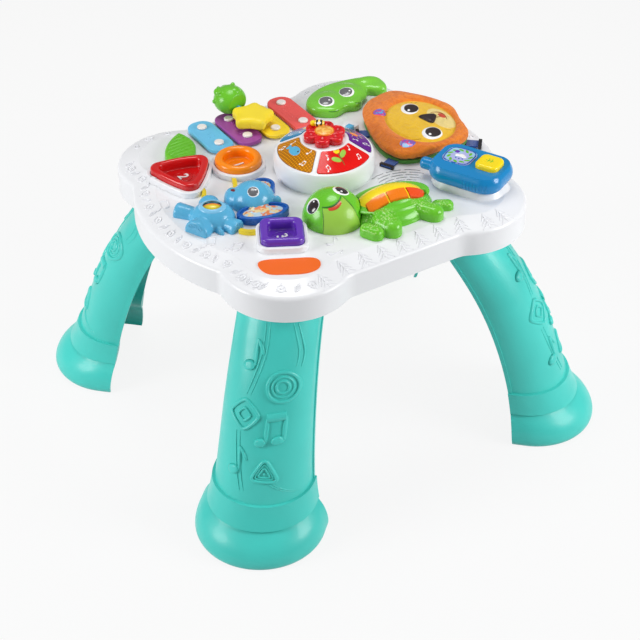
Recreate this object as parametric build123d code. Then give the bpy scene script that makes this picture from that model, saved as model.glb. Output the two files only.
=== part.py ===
from build123d import *
import math
import os

# Musical activity table, millimetres.  +Z is up and the origin is on the floor
# under the middle of the table.  -Y is the turtle's side, -X the elephant's.

# ---- table top ----
CORNER_X = 112.0
CORNER_Y = 113.5
CORNER_R = 71.5
BULGE_X = 10.0
BULGE_R = 197.0
SIDE_Y = 173.5
SIDE_FILLET = 33.5
BULGE_FILLET = 15.0
SKIRT_BOTTOM = 260.0
SKIRT_TOP = 288.5
PLATEAU = 296.0
BAND_WIDTH = 24.0
SKIRT_ROUND = 5.0
WALL = 3.0
CEILING = PLATEAU - WALL
COVER_BOTTOM = 261.5
COVER_T = 2.5
COVER_TOP = COVER_BOTTOM + COVER_T
COVER_GAP = 0.4

# ---- legs: a half shell of U section, leaning out from the corner sockets ----
LEG_ANGLE = 43.5
LEG_WALL = 3.0
TENON_TOP = 279.0
# height, distance of the open side from the middle, half width, depth
LEG_SECTIONS = (
    (258.0, 137.0, 43.0, 54.0),
    (225.0, 159.0, 45.0, 56.0),
    (185.0, 184.5, 46.5, 57.0),
    (145.0, 204.5, 48.5, 57.5),
    (105.0, 219.5, 50.5, 58.5),
    (66.0, 230.5, 53.0, 61.0),
    (44.0, 235.0, 55.0, 64.0),
)
CUFF_SECTIONS = (
    (62.0, 231.3, 56.5, 65.0),
    (50.0, 233.8, 58.0, 67.5),
    (37.0, 236.3, 60.5, 71.5),
)
FOOT_SECTIONS = (
    (43.0, 235.2, 56.0, 65.5),
    (35.0, 236.6, 59.5, 70.0),
    (26.0, 238.6, 66.5, 79.5),
    (15.0, 240.3, 71.0, 86.0),
    (7.0, 241.2, 72.0, 87.5),
    (0.0, 242.0, 69.5, 84.8),
)
LEG_LIP = 1.2
LEG_LIP_WIDTH = 4.5
SLOT_GAP = 0.3

# ---- drum, its four pads and the flower ----
DRUM_X = 9.5
DRUM_Y = 3.9
DRUM_R = 56.2
DRUM_FOOT_R = 54.2
DRUM_RIM_R = 54.2
PAD_OUTER_R = 52.0
PAD_INNER_R = 27.0
PAD_EDGE_Z = 322.0
HUB_Z = 335.5
RIB_WIDTH = 5.0
PAD_PROUD = 0.8
PAD_T = 5.0
PAD_GAP = 0.4
PAD_CORNER = 3.0
PAD_TRAVEL = 1.5
PAD_POST_R = 39.5
DRUM_BOARD_Z = 304.0
FLOWER_BOTTOM = 337.4
FLOWER_TOP = 345.5
PETAL_R = 8.3
PETAL_RING_R = 15.5
PETAL_COUNT = 6
PETAL_TURN = -11.0
SPINDLE_R = 3.0
SPINDLE_GAP = 0.05

# ---- shape cups ----
CUP_TOP = 310.5
COLLAR_TOP = 303.0
COLLAR_WALL = 3.6
CUP_FLOOR = 299.0
CUP_WALL = 9.5
CUP_SHELL = 2.5
CUP_RIM_ROUND = {"round": 4.2, "square": 3.8, "triangle": 2.9}
CUP_GAP = 0.6
CUP_LIP = 2.0
CUP_TRAVEL = 2.5
ROUND_CUP = (-68.9, 58.8)
ROUND_CUP_R = 26.3
SQUARE_CUP = (-102.0, -89.5)
SQUARE_CUP_SIDE = 46.0
SQUARE_CUP_TURN = -28.0
TRIANGLE_CUP = (-133.0, 69.5)
TRIANGLE_CUP_R = 43.0
TRIANGLE_BULGE = 3.5
TRIANGLE_CUP_TURN = 18.0

# ---- contact boards under the keys ----
BOARD_Z = 281.0
BOARD_T = 1.6
DOME_H = 2.8
DOME_R = 4.0
PLUNGER_END = BOARD_Z + BOARD_T + DOME_H + CUP_TRAVEL + 0.2
PLUNGER_R = 3.0
PLUNGER_GAP = 0.5

# ---- xylophone ----
BAR_PITCH = 35.4
BAR_WIDTH = 31.5
BAR_FIRST_X = -66.0
BAR_PIN_Y = 147.0
BAR_PIN_GAPS = (40.0, 43.0, 46.0, 49.0)
BAR_TRAVEL = 1.5
BAR_BOTTOM = PLATEAU + BAR_TRAVEL + 0.5
BAR_TOP = BAR_BOTTOM + 4.0
PIN_R = 3.0
PIN_HEAD_R = 5.6
PIN_HEAD_T = 2.2
PIN_GAP = 0.3
BAR_COLOURS = ("blue", "purple", "yellow", "red")

# ---- mallet lying over the bars ----
STAR = (-13.3, 121.7)
STAR_R = 26.5
STAR_WAIST = 0.72
STAR_T = 14.0
STAR_BOTTOM = 305.8
STAR_TURN = 52.0
BALL_DISTANCE = 39.5
BALL_TURN = 101.0
BALL_R = 19.0
BALL_HALF_HEIGHT = 16.5
BALL_Z = 319.2
BALL_FLAT = 14.0
STEM_R = 4.0

# ---- turtle ----
TURTLE_HEAD = (-34.8, -83.2)
TURTLE_HEAD_R = 33.0
JAW_TURN = -102.0
TURTLE_SHELL = (25.0, -101.5)
TURTLE_TURN = -4.0
TURTLE_KEY_COUNT = 3
TURTLE_KEY_PITCH = 24.5
TURTLE_KEY_LENGTH = 22.0
TURTLE_LEDGE_V = -16.4
TURTLE_KEY_U = 3.0
TURTLE_KEY_V = -11.0
TURTLE_KEY_WIDTH = 10.0
KEY_TRAVEL = 1.5
KEY_GAP = 0.4

# ---- elephant ----
ELEPHANT_BODY = (-146.0, -20.0)
ELEPHANT_TURN = -30.0
ELEPHANT_HEAD = (-92.0, -12.0)
ROLLER_R = 9.0
ROLLER_LENGTH = 20.0
ROLLER_Z = 307.5
AXLE_R = 1.5
AXLE_GAP = 0.05

# ---- lion pad, phone, speaker ----
LION = (137.0, 21.0)
LION_CORNERS = (
    (97, 62), (116, 84), (140, 93), (160, 92), (174, 78), (189, 52), (199, 22),
    (190, -10), (181, -36), (166, -46), (128, -47), (104, -44), (84, -33), (78, -18), (82, 20),
)
LION_BOTTOM = 300.5
LION_TOP = 312.0
LION_FACE = (143.0, 10.0)
LION_FACE_R = (38.0, 47.0)
STRAPS = ((77.0, -27.0, 205.0), (181.0, -43.0, 320.0), (87.0, 42.0, 150.0))
PHONE = (130.5, -104.5)
PHONE_TURN = -63.0
PHONE_LENGTH = 87.0
PHONE_WIDTH = 63.0
PEDESTAL_TOP = 302.5
PHONE_TOP = 322.5
PHONE_BUTTON = (20.0, 4.0)
PHONE_BUTTON_SIDE = 27.0
PHONE_BUTTON_RISE = 5.5
PHONE_SCREEN = (-16.0, 4.0)
SPEAKER = (78.0, -56.0)
SPEAKER_R = 25.0
GRILLE = (60.0, -92.0)
GRILLE_R = 33.0
GRILLE_STEP = 5.2
BATTERY_BAY = (50.0, 62.0)
BATTERY_R = 7.25
BATTERY_LENGTH = 50.5
SLIDER = (81.0, 64.0)
SLIDER_TURN = 20.0
SLIDER_TRAVEL = 8.0


def point_on(centre, towards, distance):
    return centre + (towards - centre).normalized() * distance


def table_outline():
    """Four round corners, two bulged ends and two straight sides, as tangent arcs."""
    corner = Vector(CORNER_X, CORNER_Y)
    bulge = Vector(BULGE_X, 0)
    side_y = SIDE_Y + SIDE_FILLET
    side_x = CORNER_X - math.sqrt((CORNER_R + SIDE_FILLET) ** 2 - (side_y - CORNER_Y) ** 2)
    side = Vector(side_x, side_y)
    near = CORNER_R + BULGE_FILLET
    far = BULGE_R + BULGE_FILLET
    between = corner - bulge
    run = (far**2 - near**2 + between.length**2) / (2 * between.length)
    rise = math.sqrt(far**2 - run**2)
    unit = between.normalized()
    notch = bulge + unit * run + Vector(unit.Y, -unit.X) * rise
    side_end = Vector(side_x, SIDE_Y)
    corner_start = point_on(side, corner, SIDE_FILLET)
    corner_mid = corner + Vector(1, 1).normalized() * CORNER_R
    corner_end = point_on(notch, corner, BULGE_FILLET)
    bulge_start = point_on(notch, bulge, BULGE_FILLET)
    notch_mid = point_on(notch, (corner_end + bulge_start) / 2, BULGE_FILLET)
    bulge_mid = point_on(bulge, bulge + Vector(1, 0.2), BULGE_R)
    bulge_end = bulge + Vector(BULGE_R, 0)
    quarter = [
        Line((0, SIDE_Y), side_end),
        TangentArc(side_end, corner_start, tangent=(1, 0)),
        ThreePointArc(corner_start, corner_mid, corner_end),
        ThreePointArc(corner_end, notch_mid, bulge_start),
        ThreePointArc(bulge_start, bulge_mid, bulge_end),
    ]
    half = [edge.mirror(Plane.YZ) for edge in quarter] + quarter
    return make_face(half + [edge.mirror(Plane.XZ) for edge in half])


def raised(face, low, high):
    """A straight prism of a flat face from one height to another."""
    return Pos(0, 0, low) * extrude(face, high - low, dir=(0, 0, 1))


def softened(body, radius, level):
    """Rounds the edges that lie at one height."""
    edges = [e for e in body.edges() if abs(e.bounding_box().min.Z - level) < 0.01
             and abs(e.bounding_box().max.Z - level) < 0.01]
    return fillet(edges, radius)


def ellipsoid(x, y, z, rx, ry, rz, turn=0.0):
    return Pos(x, y, z) * Rot(0, 0, turn) * scale(Sphere(1.0), by=(rx, ry, rz))


def above(level):
    """The space over one height, for trimming what stands on the top."""
    return Pos(0, 0, level + 100) * Box(800, 800, 200)


def table_solid(inset, bottom, skirt, plateau, rounding):
    outline = table_outline()
    if inset:
        outline = offset(outline, -inset)
    slope = math.degrees(math.atan(BAND_WIDTH / (plateau - skirt)))
    skirt_part = raised(outline, bottom, skirt)
    band = Pos(0, 0, skirt) * extrude(outline, plateau - skirt, taper=slope)
    body = skirt_part + band
    return softened(body, rounding, skirt)


# ---- outlines of the things that pass through the top ----
def bulged_triangle(radius, bulge, rounding):
    """A triangle whose sides bow outwards, with round corners."""
    corners = [Vector(radius, 0).rotate(Axis.Z, 120 * i) for i in range(3)]
    sides = []
    for start, end in zip(corners, corners[1:] + corners[:1]):
        middle = (start + end) / 2
        sides.append(ThreePointArc(start, middle + middle.normalized() * bulge, end))
    return fillet(make_face(sides).vertices(), rounding)


def cup_outline(shape, grow=0.0):
    if shape == "round":
        return Pos(*ROUND_CUP) * Circle(ROUND_CUP_R + grow)
    if shape == "square":
        side = SQUARE_CUP_SIDE + 2 * grow
        return Pos(*SQUARE_CUP) * Rot(0, 0, SQUARE_CUP_TURN) * RectangleRounded(side, side, 9.0 + grow)
    rounded = bulged_triangle(TRIANGLE_CUP_R + 2 * grow, TRIANGLE_BULGE, 11.0 + grow)
    return Pos(*TRIANGLE_CUP) * Rot(0, 0, TRIANGLE_CUP_TURN) * rounded


def bowl_outline(shape):
    if shape == "round":
        return Pos(*ROUND_CUP) * Circle(ROUND_CUP_R - CUP_WALL)
    if shape == "square":
        side = SQUARE_CUP_SIDE - 2 * CUP_WALL + 2
        return Pos(*SQUARE_CUP) * Rot(0, 0, SQUARE_CUP_TURN) * RectangleRounded(side, side, 5.0)
    rounded = bulged_triangle(TRIANGLE_CUP_R - 14, TRIANGLE_BULGE, 6.0)
    return Pos(*TRIANGLE_CUP) * Rot(0, 0, TRIANGLE_CUP_TURN) * rounded


def cup_centre(shape):
    return {"round": ROUND_CUP, "square": SQUARE_CUP, "triangle": TRIANGLE_CUP}[shape]


def bar_x(index):
    return BAR_FIRST_X + index * BAR_PITCH


def bar_pins(index):
    x = bar_x(index)
    return [(x, BAR_PIN_Y), (x, BAR_PIN_Y - BAR_PIN_GAPS[index])]


def bar_middle(index):
    return bar_x(index), BAR_PIN_Y - BAR_PIN_GAPS[index] / 2


def turtle_frame():
    return Pos(*TURTLE_SHELL) * Rot(0, 0, TURTLE_TURN)


def turtle_key_place(index):
    u = (index - (TURTLE_KEY_COUNT - 1) / 2) * TURTLE_KEY_PITCH
    return turtle_frame() * Pos(u + TURTLE_KEY_U, TURTLE_KEY_V)


def phone_frame():
    return Pos(*PHONE) * Rot(0, 0, PHONE_TURN)


def slider_frame():
    return Pos(*SLIDER) * Rot(0, 0, SLIDER_TURN)


def key_points():
    """Where each key's plunger comes down on a contact board."""
    points = [cup_centre(shape) for shape in ("round", "square", "triangle")]
    points += [bar_middle(i) for i in range(len(BAR_COLOURS))]
    for i in range(TURTLE_KEY_COUNT):
        place = turtle_key_place(i).position
        points.append((place.X, place.Y))
    button = (phone_frame() * Pos(*PHONE_BUTTON)).position
    points.append((button.X, button.Y))
    return points


def plunger_hole(x, y, low, high):
    return Pos(x, y, (low + high) / 2) * Cylinder(PLUNGER_R + PLUNGER_GAP, high - low)


# ---- table top and underside ----
def collar(shape):
    face = cup_outline(shape, CUP_GAP + COLLAR_WALL)
    return softened(raised(face, CEILING, COLLAR_TOP), 1.6, COLLAR_TOP)


def phone_pedestal():
    low = RectangleRounded(PHONE_LENGTH + 2, PHONE_WIDTH, 28)
    high = RectangleRounded(PHONE_LENGTH - 8, PHONE_WIDTH - 10, 24)
    body = loft([(Pos(0, 0, CEILING) * low).face(), (Pos(0, 0, PEDESTAL_TOP) * high).face()])
    return phone_frame() * body


def grille_slots():
    """Dashed arcs of thin slots over the speaker."""
    slots = []
    for ring in range(5):
        radius = GRILLE_R + GRILLE_STEP * ring
        first = 38 if ring % 2 else 44
        for dash in range(3):
            arc = CenterArc(GRILLE, radius, first + 23 * dash, 19)
            slots.append(raised(trace(arc, 1.5), CEILING - 1, PLATEAU + 1))
    return slots


def boss_points():
    return [(150, 45), (150, -40), (-176, 0), (62, 148), (-84, 148), (0, -146)]


def top_shell():
    body = table_solid(0, SKIRT_BOTTOM, SKIRT_TOP, PLATEAU, SKIRT_ROUND)
    hollow = table_solid(WALL, SKIRT_BOTTOM - 1, SKIRT_TOP - WALL, CEILING, 2.5)
    body -= hollow
    body += phone_pedestal()
    for shape in ("round", "square", "triangle"):
        body += collar(shape)
        body -= raised(cup_outline(shape, CUP_GAP), CEILING - 2, COLLAR_TOP + 2)
        body -= raised(cup_outline(shape, CUP_GAP + CUP_LIP + 0.4), CEILING - 8, CEILING)
    body -= Pos(DRUM_X, DRUM_Y, PLATEAU) * Cylinder(DRUM_FOOT_R - 8, 12)
    for i in range(len(BAR_COLOURS)):
        body -= plunger_hole(*bar_middle(i), CEILING - 1, PLATEAU + 1)
        for x, y in bar_pins(i):
            body -= Pos(x, y, PLATEAU) * Cylinder(PIN_R, 10)
    for x, y in key_points()[7:]:
        body -= plunger_hole(x, y, CEILING - 1, PEDESTAL_TOP + 1)
    for slot in grille_slots():
        body -= slot
    for x, y in boss_points():
        body += Pos(x, y, (COVER_TOP + CEILING) / 2) * (
            Cylinder(4.5, CEILING - COVER_TOP) - Pos(0, 0, -6) * Cylinder(1.5, CEILING - COVER_TOP - 6)
        )
    track = slider_frame() * Pos(5.2, 0) * RectangleRounded(10, 16, 3)
    return body + raised(track, PLATEAU - 1, PLATEAU + 4)


def leg_section(section, wall=0.0, back=0.0):
    """A U: two straight sides from the open side, closed by a half circle."""
    height, chord, half, depth = section
    half -= wall
    nose = chord + depth - wall
    straight = nose - half
    start = chord - back
    edges = [
        Line((start, -half), (straight, -half)),
        ThreePointArc((straight, -half), (nose, 0), (straight, half)),
        Line((straight, half), (start, half)),
        Line((start, half), (start, -half)),
    ]
    return Pos(0, 0, height) * make_face(edges)


def leg_lip(side):
    """The raised lip along one of the column's open edges."""
    strips = []
    for height, chord, half, _ in LEG_SECTIONS:
        strip = Rectangle(LEG_LIP_WIDTH, 2 * LEG_LIP)
        strips.append((Pos(chord + LEG_LIP_WIDTH / 2, side * half, height) * strip).face())
    return loft(strips)


def leg(turn):
    """Column, cuff and flared foot over one smooth hollow."""
    shell = leg_lip(-1) + leg_lip(1)
    for sections in (LEG_SECTIONS, CUFF_SECTIONS, FOOT_SECTIONS):
        shell += loft([leg_section(s).face() for s in sections])
    hollow = LEG_SECTIONS[:-1] + FOOT_SECTIONS[1:]
    shell -= loft([leg_section(s, LEG_WALL, 12.0).face() for s in hollow])
    top = LEG_SECTIONS[0]
    tenon = raised(leg_section(top).moved(Location((0, 0, -top[0]))), top[0], TENON_TOP)
    core = leg_section(top, LEG_WALL, 12.0).moved(Location((0, 0, -top[0])))
    tenon -= raised(core, top[0] - 1, TENON_TOP + 1)
    shell += tenon
    return Rot(0, 0, turn) * shell


def leg_turns():
    return {
        "leg_back": LEG_ANGLE,
        "leg_left": 180 - LEG_ANGLE,
        "leg_front": 180 + LEG_ANGLE,
        "leg_right": -LEG_ANGLE,
    }


def battery_bay_size(grow=0.0):
    return 3 * 2 * BATTERY_R + 8 + 2 * grow, BATTERY_LENGTH + 10 + 2 * grow


def underside_cover():
    plan = offset(table_outline(), -(WALL + COVER_GAP))
    body = raised(plan, COVER_BOTTOM, COVER_TOP)
    for turn in leg_turns().values():
        top = LEG_SECTIONS[0]
        wide = leg_section(top, -SLOT_GAP, SLOT_GAP)
        core = leg_section(top, LEG_WALL + SLOT_GAP, 14.0)
        slot = wide.moved(Location((0, 0, -top[0]))) - core.moved(Location((0, 0, -top[0])))
        body -= raised(Rot(0, 0, turn) * slot, COVER_BOTTOM - 1, COVER_TOP + 1)
    for x, y in boss_points():
        body -= Pos(x, y, COVER_BOTTOM) * Cylinder(1.6, 12)
    width, length = battery_bay_size()
    bay_top = COVER_BOTTOM + 2 * BATTERY_R + 4
    bx, by = BATTERY_BAY
    depth = bay_top + 2 - COVER_BOTTOM
    outer = Pos(bx, by, COVER_BOTTOM + depth / 2) * Box(width + 4, length + 4, depth)
    inner = Pos(bx, by, (COVER_BOTTOM + bay_top) / 2 - 1) * Box(width, length, bay_top - COVER_BOTTOM + 2)
    return body + outer - inner


def battery_door():
    width, length = battery_bay_size(-0.4)
    plate = Pos(*BATTERY_BAY) * RectangleRounded(width, length, 2)
    body = raised(plate, COVER_BOTTOM, COVER_BOTTOM + 2)
    for i in range(-2, 3):
        rib = Pos(BATTERY_BAY[0], BATTERY_BAY[1] + 9 * i, COVER_BOTTOM) * Box(width - 16, 1.6, 1.2)
        body -= rib
    return body


def batteries():
    cells = []
    z = COVER_BOTTOM + 3 + BATTERY_R
    for i in (-1, 0, 1):
        x = BATTERY_BAY[0] + i * (2 * BATTERY_R + 1)
        side = -1 if i else 1
        cell = Cylinder(BATTERY_R, BATTERY_LENGTH - 1.5)
        cell += Pos(0, 0, side * BATTERY_LENGTH / 2) * Cylinder(2.7, 1.5)
        cells.append(Pos(x, BATTERY_BAY[1], z) * Rot(90, 0, 0) * cell)
    return Compound(cells)


def battery_contacts():
    plates = []
    width, length = battery_bay_size()
    for end in (-1, 1):
        for i in (-1, 0, 1):
            x = BATTERY_BAY[0] + i * (2 * BATTERY_R + 1)
            y = BATTERY_BAY[1] + end * (length / 2 - 0.5)
            plates.append(Pos(x, y, COVER_BOTTOM + 3 + BATTERY_R) * Box(10, 0.6, 10))
    return Compound(plates)


def circuit_board():
    plate = raised(Pos(-20, -25) * RectangleRounded(96, 74, 3), 268.0, 269.6)
    parts = Pos(-30, -20, 270.8) * Box(16, 16, 2.4) + Pos(0, -40, 270.8) * Box(10, 12, 2.4)
    return plate + parts


def key_boards():
    """Contact strips under the cups, the bars, the turtle's keys and the phone button."""
    plans = [
        Pos(-101, 64) * RectangleRounded(88, 30, 3),
        Pos(*SQUARE_CUP) * RectangleRounded(28, 28, 3),
        Pos(-13, 124) * RectangleRounded(130, 24, 3),
        Pos(28, -112) * RectangleRounded(72, 24, 3),
        phone_frame() * Pos(*PHONE_BUTTON) * RectangleRounded(22, 22, 3),
    ]
    return Compound([raised(plan, BOARD_Z, BOARD_Z + BOARD_T) for plan in plans])


def contact_domes():
    dome = Cone(DOME_R, DOME_R - 1, DOME_H, align=(Align.CENTER, Align.CENTER, Align.MIN))
    places = [Pos(x, y, BOARD_Z + BOARD_T) for x, y in key_points()]
    for i in range(4):
        place = drum_axis() * Rot(0, 0, 90 * i) * Pos(PAD_POST_R, 0, DRUM_BOARD_Z + BOARD_T)
        places.append(place)
    return Compound([place * dome for place in places])


def speaker():
    profile = Plane.XZ * make_face(Polyline((0, -12), (11, -12), (11, -6), (SPEAKER_R - 3, -3),
                                            (SPEAKER_R, -3), (SPEAKER_R, 0), (SPEAKER_R - 3, 0),
                                            (9, -4), (0, -4), (0, -12)))
    body = revolve(profile, Axis.Z)
    return Pos(SPEAKER[0], SPEAKER[1], CEILING - 0.2) * body


def housing_screws():
    screw = Cylinder(1.45, 14, align=(Align.CENTER, Align.CENTER, Align.MIN))
    head = Cylinder(3.2, 1.3, align=(Align.CENTER, Align.CENTER, Align.MAX))
    return Compound([Pos(x, y, COVER_BOTTOM) * (screw + head) for x, y in boss_points()])


# ---- drum ----
def drum_axis():
    return Pos(DRUM_X, DRUM_Y, 0)


def drum_top_z(radius):
    return PAD_EDGE_Z + (HUB_Z - PAD_EDGE_Z) * (PAD_OUTER_R - radius) / (PAD_OUTER_R - PAD_INNER_R)


def drum_profile(inset):
    """Half section of the drum body: bulged side, rolled rim and the conical top."""
    foot = (DRUM_FOOT_R - inset, PLATEAU)
    widest = (DRUM_R - inset, PLATEAU + 9)
    rim = (DRUM_RIM_R - inset, drum_top_z(DRUM_RIM_R) - inset)
    hub = (PAD_INNER_R - 2, drum_top_z(PAD_INNER_R - 2) - inset)
    side = Spline(foot, widest, rim, tangents=[(0.45, 1), (-0.45, 1)])
    edges = [side, Line(rim, hub), Line(hub, (0, hub[1])), Line((0, hub[1]), (0, PLATEAU)),
             Line((0, PLATEAU), foot)]
    return make_face(edges)


def drum_solid(inset):
    return drum_axis() * revolve(Plane.XZ * drum_profile(inset), Axis.Z)


def pad_plan(index, shrink):
    """One quarter of the pad ring, cut square to the ribs that run on the diagonals."""
    ring = Circle(PAD_OUTER_R - shrink) - Circle(PAD_INNER_R + shrink)
    low = RIB_WIDTH / 2 + shrink
    quarter = Pos(low + 40, low + 40) * Rectangle(80, 80)
    rounded = fillet((ring & quarter).vertices(), PAD_CORNER - shrink)
    return drum_axis() * Rot(0, 0, 45 + 90 * index) * rounded


def cone_layer(top_rise, bottom_rise):
    """The space between two copies of the drum's conical top."""
    reach = PAD_OUTER_R + 12
    inner = PAD_INNER_R - 12
    points = [
        (inner, drum_top_z(inner) + bottom_rise),
        (reach, drum_top_z(reach) + bottom_rise),
        (reach, drum_top_z(reach) + top_rise),
        (inner, drum_top_z(inner) + top_rise),
    ]
    profile = make_face(Polyline(*points, close=True))
    return drum_axis() * revolve(Plane.XZ * profile, Axis.Z)


def drum_housing():
    body = drum_solid(0) - drum_solid(WALL)
    for i in range(4):
        body -= raised(pad_plan(i, 0), PAD_EDGE_Z - 12, HUB_Z + 10)
    body += drum_axis() * Pos(0, 0, HUB_Z - 8) * Cylinder(7, 16)
    body -= drum_axis() * Pos(0, 0, HUB_Z - 8) * Cylinder(SPINDLE_R, 30)
    return body


def drum_pad(index):
    body = raised(pad_plan(index, PAD_GAP), PAD_EDGE_Z - 30, HUB_Z + 20) & cone_layer(PAD_PROUD, -PAD_T)
    x, y = DRUM_X, DRUM_Y
    angle = math.radians(90 + 90 * index)
    x += PAD_POST_R * math.cos(angle)
    y += PAD_POST_R * math.sin(angle)
    post_low = DRUM_BOARD_Z + BOARD_T + DOME_H + PAD_TRAVEL + 0.4
    post_high = drum_top_z(PAD_POST_R) - PAD_T + 2
    post = Pos(x, y, (post_low + post_high) / 2) * Cylinder(PLUNGER_R, post_high - post_low)
    return body + post


def drum_board():
    plate = drum_axis() * (Circle(DRUM_R - 6) - Circle(8))
    return raised(plate, DRUM_BOARD_Z, DRUM_BOARD_Z + BOARD_T)


def drum_lamps():
    lamp = Cylinder(2.5, 5, align=(Align.CENTER, Align.CENTER, Align.MIN))
    ring = drum_axis() * Pos(0, 0, DRUM_BOARD_Z + BOARD_T)
    return Compound([ring * Rot(0, 0, 90 * i + 20) * Pos(36, 0, 0) * lamp for i in range(4)])


def flower():
    plan = Circle(PETAL_RING_R)
    for i in range(PETAL_COUNT):
        plan += Rot(0, 0, 60 * i + PETAL_TURN) * Pos(PETAL_RING_R, 0) * Circle(PETAL_R)
    body = softened(raised(plan, FLOWER_BOTTOM, FLOWER_TOP), 2.6, FLOWER_TOP)
    body -= Pos(0, 0, FLOWER_BOTTOM) * Cylinder(SPINDLE_R + SPINDLE_GAP, 2 * 6)
    return drum_axis() * body


def flower_centre():
    return drum_axis() * (ellipsoid(0, 0, FLOWER_TOP, 10.5, 10.5, 3.0) & above(FLOWER_TOP))


def flower_spindle():
    low = HUB_Z - 15
    high = FLOWER_BOTTOM + 5.5
    return drum_axis() * Pos(0, 0, (low + high) / 2) * Cylinder(SPINDLE_R, high - low)


def bee():
    place = drum_axis() * Rot(0, 0, 79) * Pos(PETAL_RING_R, 0, FLOWER_TOP)
    return place * (ellipsoid(0, 0, 2.0, 4.2, 7.5, 4.0) & above(0))


# ---- cups ----
def cup(shape):
    x, y = cup_centre(shape)
    body = raised(cup_outline(shape), CEILING - 2.2, CUP_TOP)
    body -= raised(bowl_outline(shape), CUP_FLOOR, CUP_TOP + 1)
    body = softened(body, CUP_RIM_ROUND[shape], CUP_TOP)
    body -= raised(cup_outline(shape, -CUP_SHELL), CEILING - 3, CUP_FLOOR - CUP_SHELL)
    lip = raised(cup_outline(shape, CUP_GAP + CUP_LIP), CEILING - 2.2, CEILING - 0.2)
    lip -= raised(cup_outline(shape, -CUP_SHELL), CEILING - 3, CEILING + 1)
    body += lip
    height = CUP_FLOOR - CUP_SHELL - PLUNGER_END
    body += Pos(x, y, PLUNGER_END + height / 2) * Cylinder(PLUNGER_R, height)
    return body


# ---- xylophone and mallet ----
def bar(index):
    x, middle = bar_middle(index)
    length = BAR_PIN_GAPS[index] + BAR_WIDTH
    plan = Pos(x, middle) * RectangleRounded(BAR_WIDTH, length, BAR_WIDTH / 2 - 1.5)
    body = softened(raised(plan, BAR_BOTTOM, BAR_TOP), 1.2, BAR_TOP)
    for px, py in bar_pins(index):
        body -= Pos(px, py, BAR_TOP) * Cylinder(PIN_R + PIN_GAP, 20)
    height = BAR_BOTTOM - PLUNGER_END
    return body + Pos(x, middle, PLUNGER_END + height / 2) * Cylinder(PLUNGER_R, height)


def bar_pins_solid():
    pins = []
    top = BAR_TOP + 0.4
    for i in range(len(BAR_COLOURS)):
        for x, y in bar_pins(i):
            shank = Pos(x, y, (CEILING + top) / 2) * Cylinder(PIN_R, top - CEILING)
            plan = Pos(x, y) * Circle(PIN_HEAD_R)
            head = raised(plan, top, top + PIN_HEAD_T)
            pins.append(shank + softened(head, 1.4, top + PIN_HEAD_T))
    return Compound(pins)


def mallet_star():
    points = []
    for i in range(5):
        angle = math.radians(72 * i + STAR_TURN)
        points.append(Vector(math.cos(angle), math.sin(angle)) * (STAR_R + 3))
        angle += math.radians(36)
        points.append(Vector(math.cos(angle), math.sin(angle)) * STAR_R * STAR_WAIST)
    plan = make_face(Polyline(*points, close=True))
    plan = fillet(plan.vertices(), 6.5)
    body = raised(Pos(*STAR) * plan, STAR_BOTTOM, STAR_BOTTOM + STAR_T)
    body = softened(body, 5.0, STAR_BOTTOM + STAR_T)
    return softened(body, 4.0, STAR_BOTTOM)


def ball_place():
    """Frame in the ball's middle whose X axis points away from the star."""
    angle = math.radians(BALL_TURN)
    x = STAR[0] + BALL_DISTANCE * math.cos(angle)
    y = STAR[1] + BALL_DISTANCE * math.sin(angle)
    return Pos(x, y, BALL_Z) * Rot(0, 0, BALL_TURN)


def mallet_ball():
    """A tree crown: a ball cut flat towards the stem, with soft knobs around it."""
    ball = Rot(0, 90, 0) * scale(Sphere(1.0), by=(BALL_HALF_HEIGHT, BALL_R, BALL_R))
    ball -= Pos(-BALL_FLAT - 20, 0, 0) * Box(40, 60, 60)
    for tilt, turn in ((4, 70), (5, -68), (32, 15), (48, -60), (45, 80)):
        knob = Cone(3.6, 1.8, 5.0, align=(Align.CENTER, Align.CENTER, Align.MIN))
        reach = BALL_R - (BALL_R - BALL_HALF_HEIGHT) * tilt / 90 - 2.4
        ball += Rot(0, 0, turn) * Rot(0, -tilt, 0) * Pos(reach, 0, 0) * Rot(0, 90, 0) * knob
    return ball_place() * ball


def mallet_stem():
    z = STAR_BOTTOM + STAR_T / 2
    near = BALL_DISTANCE - 12
    rod = Pos(-near / 2 - 4, 0, z - BALL_Z) * Rot(0, 90, 0) * Cylinder(STEM_R, near)
    return ball_place() * rod - mallet_star() - mallet_ball()


# ---- turtle ----
def paw(x, y, turn, length, width, height, rounding):
    """A stubby limb: an upright post of slot section with a rounded top."""
    plan = Pos(x, y) * Rot(0, 0, turn) * SlotOverall(length, width)
    top = PLATEAU + height
    return softened(raised(plan, PLATEAU, top), rounding, top)


def turtle_body_form():
    body = turtle_frame() * ellipsoid(0, 0, PLATEAU, 50, 36, 21)
    body += turtle_frame() * ellipsoid(0, 0, PLATEAU + 15, 48, 27, 3.5)
    ledge_side = Pos(0, TURTLE_LEDGE_V - 40, PLATEAU + 30) * Box(130, 80, 60)
    body += turtle_cap_form(0.8) & (turtle_frame() * ledge_side)
    body += ellipsoid(0, -126, PLATEAU, 19, 10, 20, -78)
    body += ellipsoid(60, -80, PLATEAU, 14, 8, 9, 40)
    for x, y, turn, length, width, height, rounding in (
        (-19, -134, -65, 27, 16, 12, 6),
        (0.5, -134, -78, 36, 22, 16, 8),
        (53, -134, -60, 35, 21, 15, 8),
        (75, -130, -28, 24, 14, 9, 5),
    ):
        body += paw(x, y, turn, length, width, height, rounding)
    return body & above(PLATEAU)


def turtle_cap_form(grow=0.0):
    return turtle_frame() * ellipsoid(0, 0, PLATEAU + 1, 46 + grow, 25 + grow, 27 + grow)


def turtle_key_prism(index, gap):
    plan = Rectangle(TURTLE_KEY_LENGTH + 2 * gap, TURTLE_KEY_WIDTH + 2 * gap)
    return raised(turtle_key_place(index) * plan, PLATEAU + 12 - gap, PLATEAU + 60)


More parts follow.
